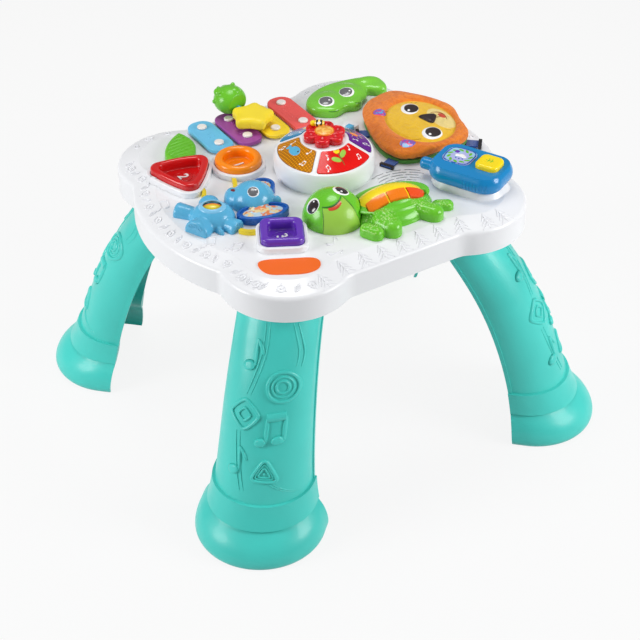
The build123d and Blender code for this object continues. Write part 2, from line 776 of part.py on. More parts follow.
def head_form(grow=0.0):
    radius = TURTLE_HEAD_R + grow
    return (Pos(TURTLE_HEAD[0], TURTLE_HEAD[1], PLATEAU + 1) * Sphere(radius)) & above(PLATEAU)


def jaw_zone():
    """The lower face, drawn from the front: two sides and the smile between them."""
    left = Spline((-21, -1), (-19.8, 15), (-17.5, 24.5))
    smile = Spline(left @ 1, (-11, 25.5), (-1, 28.5), (6.3, 31.7))
    right = Spline(smile @ 1, (12.6, 25.8), (17.5, 15.8), (22.7, -1))
    outline = make_face([left, smile, right, Line(right @ 1, left @ 0)])
    place = Pos(TURTLE_HEAD[0], TURTLE_HEAD[1], PLATEAU) * Rot(0, 0, JAW_TURN + 90) * Rot(90, 0, 0)
    return place * extrude(outline, TURTLE_HEAD_R + 5)


def turtle_jaw():
    return (head_form(0.6) - head_form(-3.0)) & jaw_zone() & above(PLATEAU)


def turtle_head():
    return head_form() - ((head_form(2.0) - head_form(-3.0)) & jaw_zone())


def turtle_shell():
    body = (turtle_cap_form() - turtle_body_form()) & above(PLATEAU + 12)
    body -= head_form(0.8)
    for i in range(TURTLE_KEY_COUNT):
        body -= turtle_key_prism(i, KEY_GAP)
    return max(body.solids(), key=lambda solid: solid.volume)


def turtle_body():
    body = turtle_body_form() - head_form(0.8)
    for i in range(TURTLE_KEY_COUNT):
        body -= turtle_key_prism(i, KEY_GAP)
        x, y = turtle_key_place(i).position.X, turtle_key_place(i).position.Y
        body -= plunger_hole(x, y, PLATEAU - 1, PLATEAU + 20)
    return max(body.solids(), key=lambda solid: solid.volume)


def turtle_key(index):
    low = PLATEAU + 12 + KEY_TRAVEL + 0.3
    body = turtle_key_prism(index, 0) & turtle_cap_form(1.0) & above(low)
    body -= head_form(1.2)
    x, y = turtle_key_place(index).position.X, turtle_key_place(index).position.Y
    height = low + 1 - PLUNGER_END
    return body + Pos(x, y, PLUNGER_END + height / 2) * Cylinder(PLUNGER_R, height)


# ---- elephant ----
def limb(angle, reach, start, end, rise):
    """A leg that lies on the top and widens towards its flat sole."""
    cone = Cone(start, end, reach, align=(Align.CENTER, Align.CENTER, Align.MIN))
    cone = fillet(cone.edges().sort_by(Axis.Z)[-1], 2.5)
    place = Pos(ELEPHANT_BODY[0], ELEPHANT_BODY[1], PLATEAU + rise) * Rot(0, 0, angle) * Rot(0, 90, 0)
    return place * cone


def elephant_form():
    body = ellipsoid(ELEPHANT_BODY[0], ELEPHANT_BODY[1], PLATEAU, 25, 22, 22, ELEPHANT_TURN)
    for angle, reach, start, end, rise in (
        (125, 43, 7, 11, 1),
        (68, 35, 8, 12, 0),
        (206, 32, 11, 15, 1),
        (-66, 34, 8, 11, 1),
    ):
        body += limb(angle, reach, start, end, rise)
    body += ellipsoid(-151, -43, PLATEAU, 8, 3.5, 6, -80)
    return body & above(PLATEAU)


def roller_place():
    return Pos(ELEPHANT_BODY[0], ELEPHANT_BODY[1], ROLLER_Z) * Rot(0, 0, ELEPHANT_TURN)


def elephant_head_form():
    head = ellipsoid(ELEPHANT_HEAD[0], ELEPHANT_HEAD[1], PLATEAU, 25, 24, 25, -25)
    head += ellipsoid(-109, 0, PLATEAU + 2, 10, 15, 14, -15)
    head += ellipsoid(-73, -30, PLATEAU + 4, 6, 5, 8)
    return head & above(PLATEAU)


def elephant_body():
    body = elephant_form() - elephant_head_form()
    cavity = roller_place() * Rot(0, 90, 0) * Cylinder(ROLLER_R + 1, ROLLER_LENGTH + 2)
    window = roller_place() * extrude(Circle(9.8), 30)
    axle = roller_place() * Rot(0, 90, 0) * Cylinder(AXLE_R, ROLLER_LENGTH + 8)
    body = body - cavity - window - axle
    return max(body.solids(), key=lambda solid: solid.volume)


def belly_roller():
    half = ROLLER_LENGTH / 2
    arc = ThreePointArc((-half, 6.5), (0, ROLLER_R), (half, 6.5))
    bore = AXLE_R + AXLE_GAP
    profile = make_face([arc, Line((half, 6.5), (half, bore)), Line((half, bore), (-half, bore)),
                         Line((-half, bore), (-half, 6.5))])
    return roller_place() * revolve(profile, Axis.X)


def roller_axle():
    return roller_place() * Rot(0, 90, 0) * Cylinder(AXLE_R, ROLLER_LENGTH + 7)


def ear(x, y, rx, ry, turn):
    plan = Pos(x, y) * Rot(0, 0, turn) * Ellipse(rx, ry)
    well = Pos(x, y) * Rot(0, 0, turn) * Ellipse(rx - 3.5, ry - 3.5)
    body = softened(raised(plan, PLATEAU, PLATEAU + 9), 1.5, PLATEAU + 9)
    return body - raised(well, PLATEAU + 7, PLATEAU + 10)


def elephant_ears():
    taken = elephant_head_form() + elephant_form()
    taken += raised(cup_outline("square", CUP_GAP + COLLAR_WALL + 0.3), PLATEAU - 1, COLLAR_TOP + 1)
    near = ear(-97, -42, 29, 15, -14) - taken
    far = ear(-72, 2, 15, 14, 30) - taken
    parts = [max(near.solids(), key=lambda solid: solid.volume)]
    parts.append(max(far.solids(), key=lambda solid: solid.volume))
    return Compound(parts)


def elephant_head():
    return elephant_head_form()


# ---- lion pad ----
def lion_plan(grow):
    """The mane's outline, with its points moved out from the middle by grow."""
    middle = Vector(*LION)
    points = [middle + (Vector(*corner) - middle).normalized() * ((Vector(*corner) - middle).length + grow)
              for corner in LION_CORNERS]
    return make_face(Spline(*points, periodic=True))


def lion_pad():
    body = raised(lion_plan(0), LION_BOTTOM + 0.3, LION_TOP)
    body = softened(body, 5.5, LION_TOP)
    body = softened(body, 3.0, LION_BOTTOM + 0.3)
    face = ellipsoid(LION_FACE[0], LION_FACE[1], LION_TOP - 3, LION_FACE_R[0], LION_FACE_R[1], 7, -8)
    return body + (face & above(LION_TOP - 2))


def lion_backing():
    return softened(raised(lion_plan(-4), PLATEAU, LION_BOTTOM), 1.5, LION_BOTTOM)


def lion_straps():
    straps = []
    for x, y, angle in STRAPS:
        strap = Pos(x, y, PLATEAU + 2) * Rot(0, 0, angle) * Box(18, 13, 1.8)
        straps.append(strap - raised(lion_plan(-3.7), PLATEAU, LION_BOTTOM))
    return Compound([max(s.solids(), key=lambda solid: solid.volume) for s in straps])


def strap_buckles():
    loops = []
    for x, y, angle in STRAPS:
        loop = Box(4, 17, 4.0) - Box(8, 13.8, 2.6)
        loops.append(Pos(x, y, PLATEAU + 2) * Rot(0, 0, angle) * Pos(7, 0, 0) * loop)
    return Compound(loops)


# ---- phone ----
def phone_form():
    sections = []
    height = PHONE_TOP - PEDESTAL_TOP
    for rise, trim, corner in ((0.0, 12, 17), (5.0, 2, 20), (10.0, 0, 21), (15.0, 2, 20), (height, 8, 16)):
        plan = RectangleRounded(PHONE_LENGTH - trim, PHONE_WIDTH - trim, corner)
        sections.append((Pos(0, 0, PEDESTAL_TOP + rise) * plan).face())
    nub = Pos(-PHONE_LENGTH / 2 + 4, -PHONE_WIDTH / 2 + 19, PEDESTAL_TOP + 10) * Rot(0, -90, 0)
    post = Cylinder(7.0, 15, align=(Align.CENTER, Align.CENTER, Align.MIN))
    return loft(sections) + nub * fillet(post.edges().sort_by(Axis.Z)[-1], 4.5)


def phone_body():
    body = phone_form()
    bx, by = PHONE_BUTTON
    side = PHONE_BUTTON_SIDE + 2 * KEY_GAP
    body -= raised(Pos(bx, by) * RectangleRounded(side, side, 8), PHONE_TOP - 6, PHONE_TOP + 5)
    body -= Pos(bx, by, PHONE_TOP - 15) * Cylinder(PLUNGER_R + PLUNGER_GAP, 30)
    sx, sy = PHONE_SCREEN
    body -= raised(Pos(sx, sy) * RectangleRounded(34, 32, 9), PHONE_TOP - 1.5, PHONE_TOP + 5)
    return phone_frame() * body


def phone_screen():
    plate = Pos(*PHONE_SCREEN) * RectangleRounded(33.6, 31.6, 8.8)
    return phone_frame() * raised(plate, PHONE_TOP - 1.5, PHONE_TOP + 0.6)


def phone_button():
    bx, by = PHONE_BUTTON
    plan = Pos(bx, by) * RectangleRounded(PHONE_BUTTON_SIDE, PHONE_BUTTON_SIDE, 7.5)
    high = PHONE_TOP + PHONE_BUTTON_RISE
    body = softened(raised(plan, PHONE_TOP - 4, high), 3, high)
    height = PHONE_TOP - 4 - PLUNGER_END
    body += Pos(bx, by, PLUNGER_END + height / 2) * Cylinder(PLUNGER_R, height)
    return phone_frame() * body


# ---- small pieces on the top ----
def gourd():
    outline = Spline((60, 112), (63, 129), (76, 141), (96, 149),
                     (122, 150), (140, 147), (156, 142), (167, 131),
                     (168, 117), (162, 107), (152, 108), (144, 115), (136, 118), (127, 106), (119, 95),
                     (109, 92), (101, 96), (93, 95), (83, 92), (70, 99), periodic=True)
    body = softened(raised(make_face(outline), PLATEAU, PLATEAU + 12), 5, PLATEAU + 12)
    for x, y, rx, ry, turn in ((87, 119, 24, 21, 20), (119, 124, 24, 19, -60), (150, 131, 20, 11, -12)):
        body += ellipsoid(x, y, PLATEAU + 6, rx, ry, 9.5, turn)
    return body & above(PLATEAU)


def leaf():
    tip = (-95, 149)
    base = (-112, 90)
    edge = [Spline(base, (-132, 108), (-119, 133), tip), Spline(tip, (-90, 125), base)]
    body = raised(make_face(edge), PLATEAU, PLATEAU + 9)
    body = softened(body, 3.5, PLATEAU + 9)
    keep = body - raised(cup_outline("triangle", CUP_GAP + COLLAR_WALL), PLATEAU - 1, PLATEAU + 40)
    return max(keep.solids(), key=lambda solid: solid.volume)


def link_straps():
    """Three curved links that join the elephant to the cups' collars."""
    taken = elephant_form() + elephant_head_form()
    for shape in ("round", "square", "triangle"):
        taken += raised(cup_outline(shape, CUP_GAP + COLLAR_WALL), PLATEAU - 1, COLLAR_TOP + 1)
    links = []
    for start, middle, end in (
        ((-129, 41), (-128, 33), (-134, 22)),
        ((-88, 36), (-92, 26), (-100, 14)),
        ((-116, -67), (-125, -64), (-133, -55)),
    ):
        arc = ThreePointArc(start, middle, end)
        link = raised(trace(arc, 4.5), PLATEAU, PLATEAU + 5) - taken
        links.append(max(link.solids(), key=lambda solid: solid.volume))
    return Compound(links)


def label_plate():
    outline = Spline((-149, -124), (-144, -113), (-126, -118), (-104, -129), (-90, -141), (-94, -152),
                     (-110, -156), (-134, -145), periodic=True)
    plan = make_face(outline) - cup_outline("square", CUP_GAP + COLLAR_WALL + 1.0)
    face = max(plan.faces(), key=lambda item: item.area)
    return raised(face, PLATEAU, PLATEAU + 0.8)


def volume_slider():
    return slider_frame() * Pos(-3.7, -SLIDER_TRAVEL / 2, PLATEAU + 3.7) * Box(7, 7, 7)


def parts_table():
    parts = {
        "top_shell": top_shell(),
        "underside_cover": underside_cover(),
        "battery_door": battery_door(),
        "batteries": batteries(),
        "battery_contacts": battery_contacts(),
        "circuit_board": circuit_board(),
        "key_boards": key_boards(),
        "contact_domes": contact_domes(),
        "speaker": speaker(),
        "housing_screws": housing_screws(),
        "drum_housing": drum_housing(),
        "drum_board": drum_board(),
        "drum_lamps": drum_lamps(),
        "flower": flower(),
        "flower_centre": flower_centre(),
        "flower_spindle": flower_spindle(),
        "flower_bee": bee(),
        "bar_pins": bar_pins_solid(),
        "mallet_star": mallet_star(),
        "mallet_ball": mallet_ball(),
        "mallet_stem": mallet_stem(),
        "turtle_body": turtle_body(),
        "turtle_shell": turtle_shell(),
        "turtle_head": turtle_head(),
        "turtle_jaw": turtle_jaw(),
        "elephant_body": elephant_body(),
        "elephant_head": elephant_head(),
        "elephant_ears": elephant_ears(),
        "belly_roller": belly_roller(),
        "roller_axle": roller_axle(),
        "link_straps": link_straps(),
        "lion_pad": lion_pad(),
        "lion_backing": lion_backing(),
        "lion_straps": lion_straps(),
        "strap_buckles": strap_buckles(),
        "phone_body": phone_body(),
        "phone_screen": phone_screen(),
        "phone_button": phone_button(),
        "gourd": gourd(),
        "leaf": leaf(),
        "label_plate": label_plate(),
        "volume_slider": volume_slider(),
    }
    for name, turn in leg_turns().items():
        parts[name] = leg(turn)
    for shape in ("round", "square", "triangle"):
        parts["cup_" + shape] = cup(shape)
    for i, colour in enumerate(("teal", "amber", "red", "purple")):
        parts["pad_" + colour] = drum_pad(i)
    for i, colour in enumerate(BAR_COLOURS):
        parts["bar_" + colour] = bar(i)
    for i in range(TURTLE_KEY_COUNT):
        parts["turtle_key_" + str(i + 1)] = turtle_key(i)
    return parts


def main():
    os.makedirs("parts", exist_ok=True)
    for name, part in parts_table().items():
        export_step(part, "parts/" + name + ".step")


if __name__ == "__main__":
    main()
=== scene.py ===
import math

import bmesh
import bpy
from mathutils import Matrix, Vector
from mathutils.bvhtree import BVHTree


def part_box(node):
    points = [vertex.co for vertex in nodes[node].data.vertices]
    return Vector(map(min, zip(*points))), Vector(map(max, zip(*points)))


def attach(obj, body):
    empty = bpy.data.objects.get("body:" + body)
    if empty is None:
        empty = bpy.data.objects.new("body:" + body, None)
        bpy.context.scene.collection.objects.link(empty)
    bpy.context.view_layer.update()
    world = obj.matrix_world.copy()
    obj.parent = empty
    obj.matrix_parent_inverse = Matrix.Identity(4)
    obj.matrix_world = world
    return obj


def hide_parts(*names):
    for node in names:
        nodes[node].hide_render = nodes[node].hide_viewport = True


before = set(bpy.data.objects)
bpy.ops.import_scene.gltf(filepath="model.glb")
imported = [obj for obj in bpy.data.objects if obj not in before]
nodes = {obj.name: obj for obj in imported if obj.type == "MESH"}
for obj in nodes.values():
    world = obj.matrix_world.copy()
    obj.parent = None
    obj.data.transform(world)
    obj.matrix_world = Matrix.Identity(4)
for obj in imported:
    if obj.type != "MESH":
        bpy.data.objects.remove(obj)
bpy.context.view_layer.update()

# The script works in millimetres and scales each finished piece to metres.
MM = 0.001
UP = Vector((0, 0, 1))
WHITE = (1, 1, 1, 1)
TABLE = "table"
PLAY_SURFACE = 296.0
DRUM = (9.5, 3.9)
BEE_MIDDLE = (12.5, 19.1, 348.0)
ROLLER_MIDDLE = (-141.0, -11.3, 307.0)
LION_MIDDLE = (143.0, 10.0)
LION_TURN = -8.0
SEAM_RADII = (38.0, 47.0)
FACE_RADII = (38.5, 47.5)


# ---- shader nodes ----
def linear(colour):
    """A colour given as 0-255 display values, as the shaders take it."""
    return tuple(((c / 255 + 0.055) / 1.055) ** 2.4 for c in colour) + (1.0,)


def scaled(colour, factor):
    return tuple(min(1.0, c * factor) for c in colour[:3]) + (1.0,)


def link(output, socket):
    socket.id_data.links.new(output, socket)


def wire(node, **values):
    """Set a node's inputs by name, with _ for a space: outputs are linked, constants are set."""
    for name, value in values.items():
        socket = node.inputs[name.replace("_", " ")]
        if isinstance(value, bpy.types.NodeSocket):
            link(value, socket)
        else:
            socket.default_value = value


def add_node(near, kind, **values):
    """A new node in the tree that another node, a socket or the tree itself stands for."""
    node = near.id_data.nodes.new("ShaderNode" + kind)
    wire(node, **values)
    return node


def start_material(name, colour, roughness):
    material = bpy.data.materials.new(name)
    material.use_nodes = True
    shader = material.node_tree.nodes["Principled BSDF"]
    wire(shader, Base_Color=colour, Roughness=roughness)
    return material, shader, add_node(shader, "TexCoord").outputs["Object"]


def noise(place, scale, detail=3.0, distortion=0.0):
    node = add_node(place, "TexNoise", Vector=place, Scale=scale, Detail=detail, Distortion=distortion)
    return node.outputs["Fac"]


# The wave node's scale times the wavelength that it gives.
WAVE_SCALE = 0.314


def waves(place, direction, wavelength, distortion=0.0):
    """Parallel bands, at a wavelength in millimetres."""
    scale = WAVE_SCALE / (wavelength * MM)
    node = add_node(place, "TexWave", Vector=place, Scale=scale, Distortion=distortion)
    node.bands_direction = direction
    return node.outputs["Fac"]


def spread(factor, low=0.0, high=1.0, start=0.3, end=0.7):
    """Map a pattern's middle range to the values from low to high."""
    node = add_node(factor, "MapRange", Value=factor, From_Min=start, From_Max=end, To_Min=low, To_Max=high)
    return node.outputs["Result"]


def combine(operation, first, second):
    """Two values, the second of which may be a constant, put through one operation."""
    node = add_node(first, "Math")
    node.operation = operation
    link(first, node.inputs[0])
    if isinstance(second, float):
        node.inputs[1].default_value = second
    else:
        link(second, node.inputs[1])
    return node.outputs[0]


def blend_colours(factor, first, second):
    """Mix two colours, each a constant or another node's output."""
    node = add_node(factor, "Mix")
    node.data_type = "RGBA"
    wire(node, Factor=factor, A=first, B=second)
    return node.outputs["Result"]


def drifting(place, colour, scale, dark, bright):
    """A colour that drifts between a darker and a brighter tone."""
    return blend_colours(spread(noise(place, scale, 2.0)), scaled(colour, dark), scaled(colour, bright))


def about(place, middle, turn, scale=(1, 1, 1)):
    """Coordinates about a middle in millimetres, turned, and divided by a scale."""
    node = add_node(place, "Mapping")
    node.vector_type = "TEXTURE"
    spot = [c * MM for c in middle]
    wire(node, Vector=place, Location=spot, Rotation=(0, 0, math.radians(turn)), Scale=scale)
    return node.outputs["Vector"]


def raise_bumps(shader, height, distance, strength=1.0):
    bumps = add_node(shader, "Bump", Height=height, Distance=distance, Strength=strength)
    wire(shader, Normal=bumps.outputs["Normal"])


# ---- materials ----
WEAVE_PITCH = 0.98125


def moulded(name, colour, roughness=0.26, coat=0.3, mottle=0.05, peel=0.00006):
    """Injection-moulded plastic: faint colour drift, uneven gloss and a fine skin."""
    colour = linear(colour)
    material, shader, place = start_material(name, colour, roughness)
    tinted = drifting(place, colour, 18.0, 1 - mottle, 1 + mottle)
    gloss = spread(noise(place, 90.0, 4.0), roughness * 0.85, roughness * 1.2)
    wire(shader, Base_Color=tinted, Roughness=gloss, Specular_IOR_Level=0.35,
         Coat_Weight=coat, Coat_Roughness=0.06)
    raise_bumps(shader, noise(place, 900.0, 4.0), peel)
    return material


def pearl(name, colour):
    """White satin with a soft pearly glance."""
    colour = linear(colour)
    material, shader, place = start_material(name, colour, 0.34)
    tinted = drifting(place, colour, 9.0, 0.975, 1.01)
    gloss = spread(noise(place, 60.0), 0.28, 0.4)
    wire(shader, Base_Color=tinted, Roughness=gloss, Sheen_Weight=0.15, Sheen_Roughness=0.4,
         Coat_Weight=0.2, Coat_Roughness=0.15)
    raise_bumps(shader, noise(place, 420.0), 0.00005)
    return material


def speckled(name, colour, pale):
    """Plastic with a sparkling skin where the mesh's grain attribute is 1, smooth where it is 0."""
    colour, pale = linear(colour), linear(pale)
    material, shader, place = start_material(name, colour, 0.26)
    cells = add_node(place, "TexVoronoi", Vector=place, Scale=420.0)
    mask = add_node(place, "Attribute")
    mask.attribute_name = "grain"
    crests = spread(cells.outputs["Distance"], 0.7, 0.0, 0.1, 0.55)
    flecks = combine("MULTIPLY", crests, mask.outputs["Fac"])
    wire(shader, Base_Color=blend_colours(flecks, colour, pale), Specular_IOR_Level=0.35,
         Coat_Weight=0.3, Coat_Roughness=0.06)
    raise_bumps(shader, flecks, 0.0006, 0.9)
    return material


def lens_plastic(name, colour, grid_pitch):
    """Clear tinted plastic over a reflector with a grid of a given pitch in millimetres."""
    colour = linear(colour)
    material, shader, place = start_material(name, colour, 0.16)
    grid = combine("MULTIPLY", *[waves(place, axis, grid_pitch, 0.15) for axis in "XY"])
    base = drifting(place, colour, 26.0, 0.74, 1.05)
    lit = blend_colours(spread(grid, 0.0, 0.7, 0.2, 0.7), base, scaled(colour, 2.2))
    wire(shader, Base_Color=lit, Specular_IOR_Level=0.25, Coat_Weight=0.15, Coat_Roughness=0.03)
    raise_bumps(shader, noise(place, 220.0, 2.0), 0.00004)
    return material


def plush(name, mane, face, radii):
    """Short pile: the mane's colour outside an ellipse about the lion's face, the face's inside it."""
    mane, face = linear(mane), linear(face)
    material, shader, place = start_material(name, mane, 0.95)
    flattened = 1e6
    local = about(place, (*LION_MIDDLE, 0), LION_TURN, (radii[0] * MM, radii[1] * MM, flattened))
    length = add_node(place, "VectorMath")
    length.operation = "LENGTH"
    link(local, length.inputs[0])
    outside = spread(length.outputs["Value"], 0.0, 1.0, 0.985, 1.015)
    pile = noise(place, 900.0, 5.0, 0.6)
    tufts = noise(place, 105.0, 5.0, 1.6)
    shade = spread(tufts)
    maned = blend_colours(shade, scaled(mane, 0.8), scaled(mane, 1.35))
    faced = blend_colours(shade, scaled(face, 0.93), scaled(face, 1.06))
    wire(shader, Base_Color=blend_colours(outside, faced, maned), Sheen_Weight=0.2, Sheen_Roughness=0.5)
    raise_bumps(shader, combine("ADD", pile, tufts), 0.002, 0.9)
    return material


def webbing(name, colour):
    """Woven strap: fine slanting ribs."""
    colour = linear(colour)
    material, shader, place = start_material(name, colour, 0.8)
    weave = waves(place, "DIAGONAL", WEAVE_PITCH, 1.5)
    shade = blend_colours(weave, scaled(colour, 0.7), scaled(colour, 1.2))
    wire(shader, Base_Color=shade, Sheen_Weight=0.3)
    raise_bumps(shader, weave, 0.0004, 0.7)
    return material


def printed(name, colours, scale, roughness=0.3):
    """A generic print of soft patches in two or three colours."""
    tone = linear(colours[0])
    material, shader, place = start_material(name, tone, roughness)
    for layer, colour in enumerate(colours[1:]):
        patches = noise(place, scale * (1 + 0.6 * layer), 1.0, 0.8)
        mask = spread(patches, 0.0, 1.0, 0.5 + 0.03 * layer, 0.54 + 0.03 * layer)
        tone = blend_colours(mask, tone, linear(colour))
    wire(shader, Base_Color=tone, Coat_Weight=0.4)
    raise_bumps(shader, noise(place, 500.0, 2.0), 0.00004)
    return material


def banded(name, first, second, middle, turn, wavelength):
    """Two colours in bands across a turned axis, in millimetres about a middle."""
    first, second = linear(first), linear(second)
    material, shader, place = start_material(name, first, 0.3)
    bands = waves(about(place, middle, turn), "X", wavelength)
    mask = spread(bands, 0.0, 1.0, 0.44, 0.56)
    wire(shader, Base_Color=blend_colours(mask, first, second), Coat_Weight=0.3)
    raise_bumps(shader, noise(place, 600.0, 2.0), 0.00005)
    return material


TOP_WHITE = pearl("top_white", (236, 237, 240))
RELIEF_WHITE = pearl("relief_white", (232, 233, 237))
LEG_TEAL = moulded("leg_teal", (72, 208, 198), 0.36, 0.1, 0.04, 0.00008)
CUP_RED = moulded("cup_red", (206, 20, 22), 0.2, 0.35)
CUP_ORANGE = moulded("cup_orange", (252, 140, 6), 0.22, 0.35)
CUP_PURPLE = moulded("cup_purple", (100, 52, 178), 0.22, 0.35)
SKY_BLUE = moulded("sky_blue", (88, 176, 216))
SKY_PALE = moulded("sky_pale", (128, 196, 232))
EAR_BLUE = moulded("ear_blue", (22, 94, 180))
PHONE_BLUE = moulded("phone_blue", (0, 132, 196), 0.22, 0.3)
TURTLE_GREEN = moulded("turtle_green", (104, 196, 40))
TURTLE_SPARKLE = speckled("turtle_sparkle", (104, 196, 40), (206, 240, 150))
JAW_GREEN = moulded("jaw_green", (154, 204, 74), 0.35, 0.2)
SHELL_YELLOW = moulded("shell_yellow", (252, 222, 8), 0.28, 0.3)
KEY_ORANGE = moulded("key_orange", (244, 126, 12))
KEY_RED_ORANGE = moulded("key_red_orange", (238, 78, 22))
GOURD_GREEN = moulded("gourd_green", (120, 202, 58), 0.24, 0.35)
LEAF_GREEN = moulded("leaf_green", (104, 190, 40), 0.3, 0.2)
BAR_BLUE = moulded("bar_blue", (108, 192, 230), 0.34, 0.15)
BAR_PURPLE = moulded("bar_purple", (160, 74, 160), 0.34, 0.15)
BAR_YELLOW = moulded("bar_yellow", (246, 212, 40), 0.34, 0.15)
BAR_RED = moulded("bar_red", (240, 92, 88), 0.36, 0.15)
STAR_YELLOW = moulded("star_yellow", (244, 218, 50), 0.4, 0.1)
LINK_YELLOW = moulded("link_yellow", (232, 206, 40), 0.4, 0.2)
FLOWER_RED = moulded("flower_red", (222, 16, 30), 0.2, 0.35)
FLOWER_GOLD = printed("flower_gold", ((238, 160, 50), (250, 198, 96)), 180.0, 0.35)
BEE_BANDS = banded("bee_bands", (244, 206, 60), (30, 22, 18), BEE_MIDDLE, -36, 4.6)
BEE_WING = moulded("bee_wing", (236, 238, 240), 0.3, 0.4)
PIN_WHITE = moulded("pin_white", (238, 232, 228), 0.3, 0.4)
DIGIT_WHITE = moulded("digit_white", (244, 244, 244), 0.35, 0.2)
EYE_WHITE = moulded("eye_white", (250, 250, 250), 0.2, 0.6)
EYE_DARK = moulded("eye_dark", (34, 24, 26), 0.12, 1.0)
EYE_GREY = moulded("eye_grey", (104, 104, 108), 0.15, 0.9)
MOUTH_RED = moulded("mouth_red", (206, 70, 44), 0.3, 0.4)
MOUTH_DARK = moulded("mouth_dark", (122, 36, 44), 0.3, 0.4)
LINE_GREEN = moulded("line_green", (40, 110, 30), 0.4, 0.2)
LINE_BROWN = moulded("line_brown", (150, 84, 26), 0.6, 0.0)
NOSE_BLACK = moulded("nose_black", (46, 34, 34), 0.5, 0.1)
SATIN_WHITE = printed("satin_white", ((246, 246, 246), (238, 240, 244)), 300.0, 0.5)
MUZZLE_CREAM = plush("muzzle_cream", (250, 214, 110), (250, 224, 140), SEAM_RADII)
LION_PLUSH = plush("lion_plush", (255, 126, 22), (255, 200, 22), FACE_RADII)
EAR_PRINT = printed("ear_print", ((120, 90, 190), (90, 170, 220), (220, 60, 130)), 150.0)
BACKING_GREEN = webbing("backing_green", (86, 160, 60))
STRAP_BLUE = webbing("strap_blue", (28, 78, 160))
BUCKLE_BLACK = moulded("buckle_black", (26, 26, 30), 0.35, 0.3)
SCREEN_PRINT = printed("screen_print", ((178, 182, 232), (160, 206, 232)), 60.0)
INSERT_PRINT = printed("insert_print", ((186, 212, 226), (240, 212, 150), (232, 130, 70)), 90.0)
LABEL_ORANGE = moulded("label_orange", (240, 104, 20), 0.35, 0.1)
PAD_TEAL = lens_plastic("pad_teal_lens", (10, 128, 178), 1.6)
PAD_AMBER = lens_plastic("pad_amber_lens", (192, 120, 4), 2.8)
PAD_RED = lens_plastic("pad_red_lens", (236, 16, 12), 1.4)
PAD_PURPLE = lens_plastic("pad_purple_lens", (96, 18, 136), 2.4)
ROLLER_BANDS = banded("roller_bands", (246, 140, 20), (222, 200, 40), ROLLER_MIDDLE, 60, 40.0)
GREY_PLASTIC = moulded("grey_plastic", (206, 208, 206), 0.4, 0.2)
BOARD_GREEN = moulded("board_green", (30, 96, 60), 0.4, 0.2)
SPEAKER_BLACK = moulded("speaker_black", (40, 40, 44), 0.6, 0.0)
CELL_METAL = moulded("cell_metal", (180, 176, 160), 0.3, 0.2)
RUBBER_GREY = moulded("rubber_grey", (150, 150, 150), 0.7, 0.0)
wire(CELL_METAL.node_tree.nodes["Principled BSDF"], Metallic=0.9)


# ---- mesh helpers ----
def polar(radius, angle):
    return radius * math.cos(angle), radius * math.sin(angle)


def towards(degrees):
    """A level direction of length 1."""
    return Vector((*polar(1, math.radians(degrees)), 0))


def facing(point, out=UP, turn=0.0):
    """A frame at a point whose Z axis looks outwards and whose Y axis is as upright as it can be."""
    z = Vector(out).normalized()
    side = UP.cross(z)
    side = side.normalized() if side.length > 0.001 else Vector((1, 0, 0))
    axes = Matrix((side, z.cross(side), z)).transposed().to_4x4()
    return Matrix.Translation(point) @ axes @ Matrix.Rotation(math.radians(turn), 4, "Z")


def joined(*parts):
    whole = bmesh.new()
    for bm in parts:
        scratch = bpy.data.meshes.new("scratch")
        bm.to_mesh(scratch)
        bm.free()
        whole.from_mesh(scratch)
        bpy.data.meshes.remove(scratch)
    return whole


def in_millimetres(mesh):
    bm = bmesh.new()
    bm.from_mesh(mesh)
    bmesh.ops.scale(bm, vec=(1 / MM,) * 3, verts=bm.verts)
    bmesh.ops.remove_doubles(bm, verts=bm.verts, dist=0.001)
    return bm


def ground(*objects):
    """What flat work can be laid on, in millimetres."""
    whole = joined(*[in_millimetres(item.data) for item in objects])
    tree = BVHTree.FromBMesh(whole)
    whole.free()
    return tree


def placed(name, data):
    """A new object in the scene."""
    item = bpy.data.objects.new(name, data)
    bpy.context.scene.collection.objects.link(item)
    return item


def assemble(name, body, *parts):
    """One object from (bmesh, material) pairs, scaled to metres and set on its body."""
    mesh = bpy.data.meshes.new(name)
    whole = bmesh.new()
    for index, (bm, material) in enumerate(parts):
        bmesh.ops.recalc_face_normals(bm, faces=bm.faces)
        for face in bm.faces:
            face.material_index = index
            face.smooth = True
        whole = joined(whole, bm)
        mesh.materials.append(material)
    bmesh.ops.scale(whole, vec=(MM,) * 3, verts=whole.verts)
    whole.to_mesh(mesh)
    whole.free()
    piece = placed(name, mesh)
    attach(piece, body)
    return piece


def lay(bm, place, target, reach=60.0, sink=0.0):
    """Drop flat work onto a surface, looking back along the place's own Z axis."""
    out = (place.to_3x3() @ UP).normalized()
    for vert in bm.verts:
        height = vert.co.z - sink
        start = place @ Vector((vert.co.x, vert.co.y, reach))
        hit = target.ray_cast(start, -out)[0]
        level = hit if hit else place @ Vector((vert.co.x, vert.co.y, 0))
        vert.co = level + out * height
    return bm


def lay_down(bm, x, y, target, turn=0.0, sink=0.0, level=PLAY_SURFACE):
    """Drop flat work onto a surface from straight above; points beside it stay at a level."""
    return lay(bm, facing((x, y, level), turn=turn), target, sink=sink)


def from_curve(curve):
    """A curve's mesh, in place of the curve."""
    holder = bpy.data.objects.new("curve", curve)
    mesh = bpy.data.meshes.new_from_object(holder)
    bm = bmesh.new()
    bm.from_mesh(mesh)
    bpy.data.objects.remove(holder)
    bpy.data.curves.remove(curve)
    bpy.data.meshes.remove(mesh)
    return bm


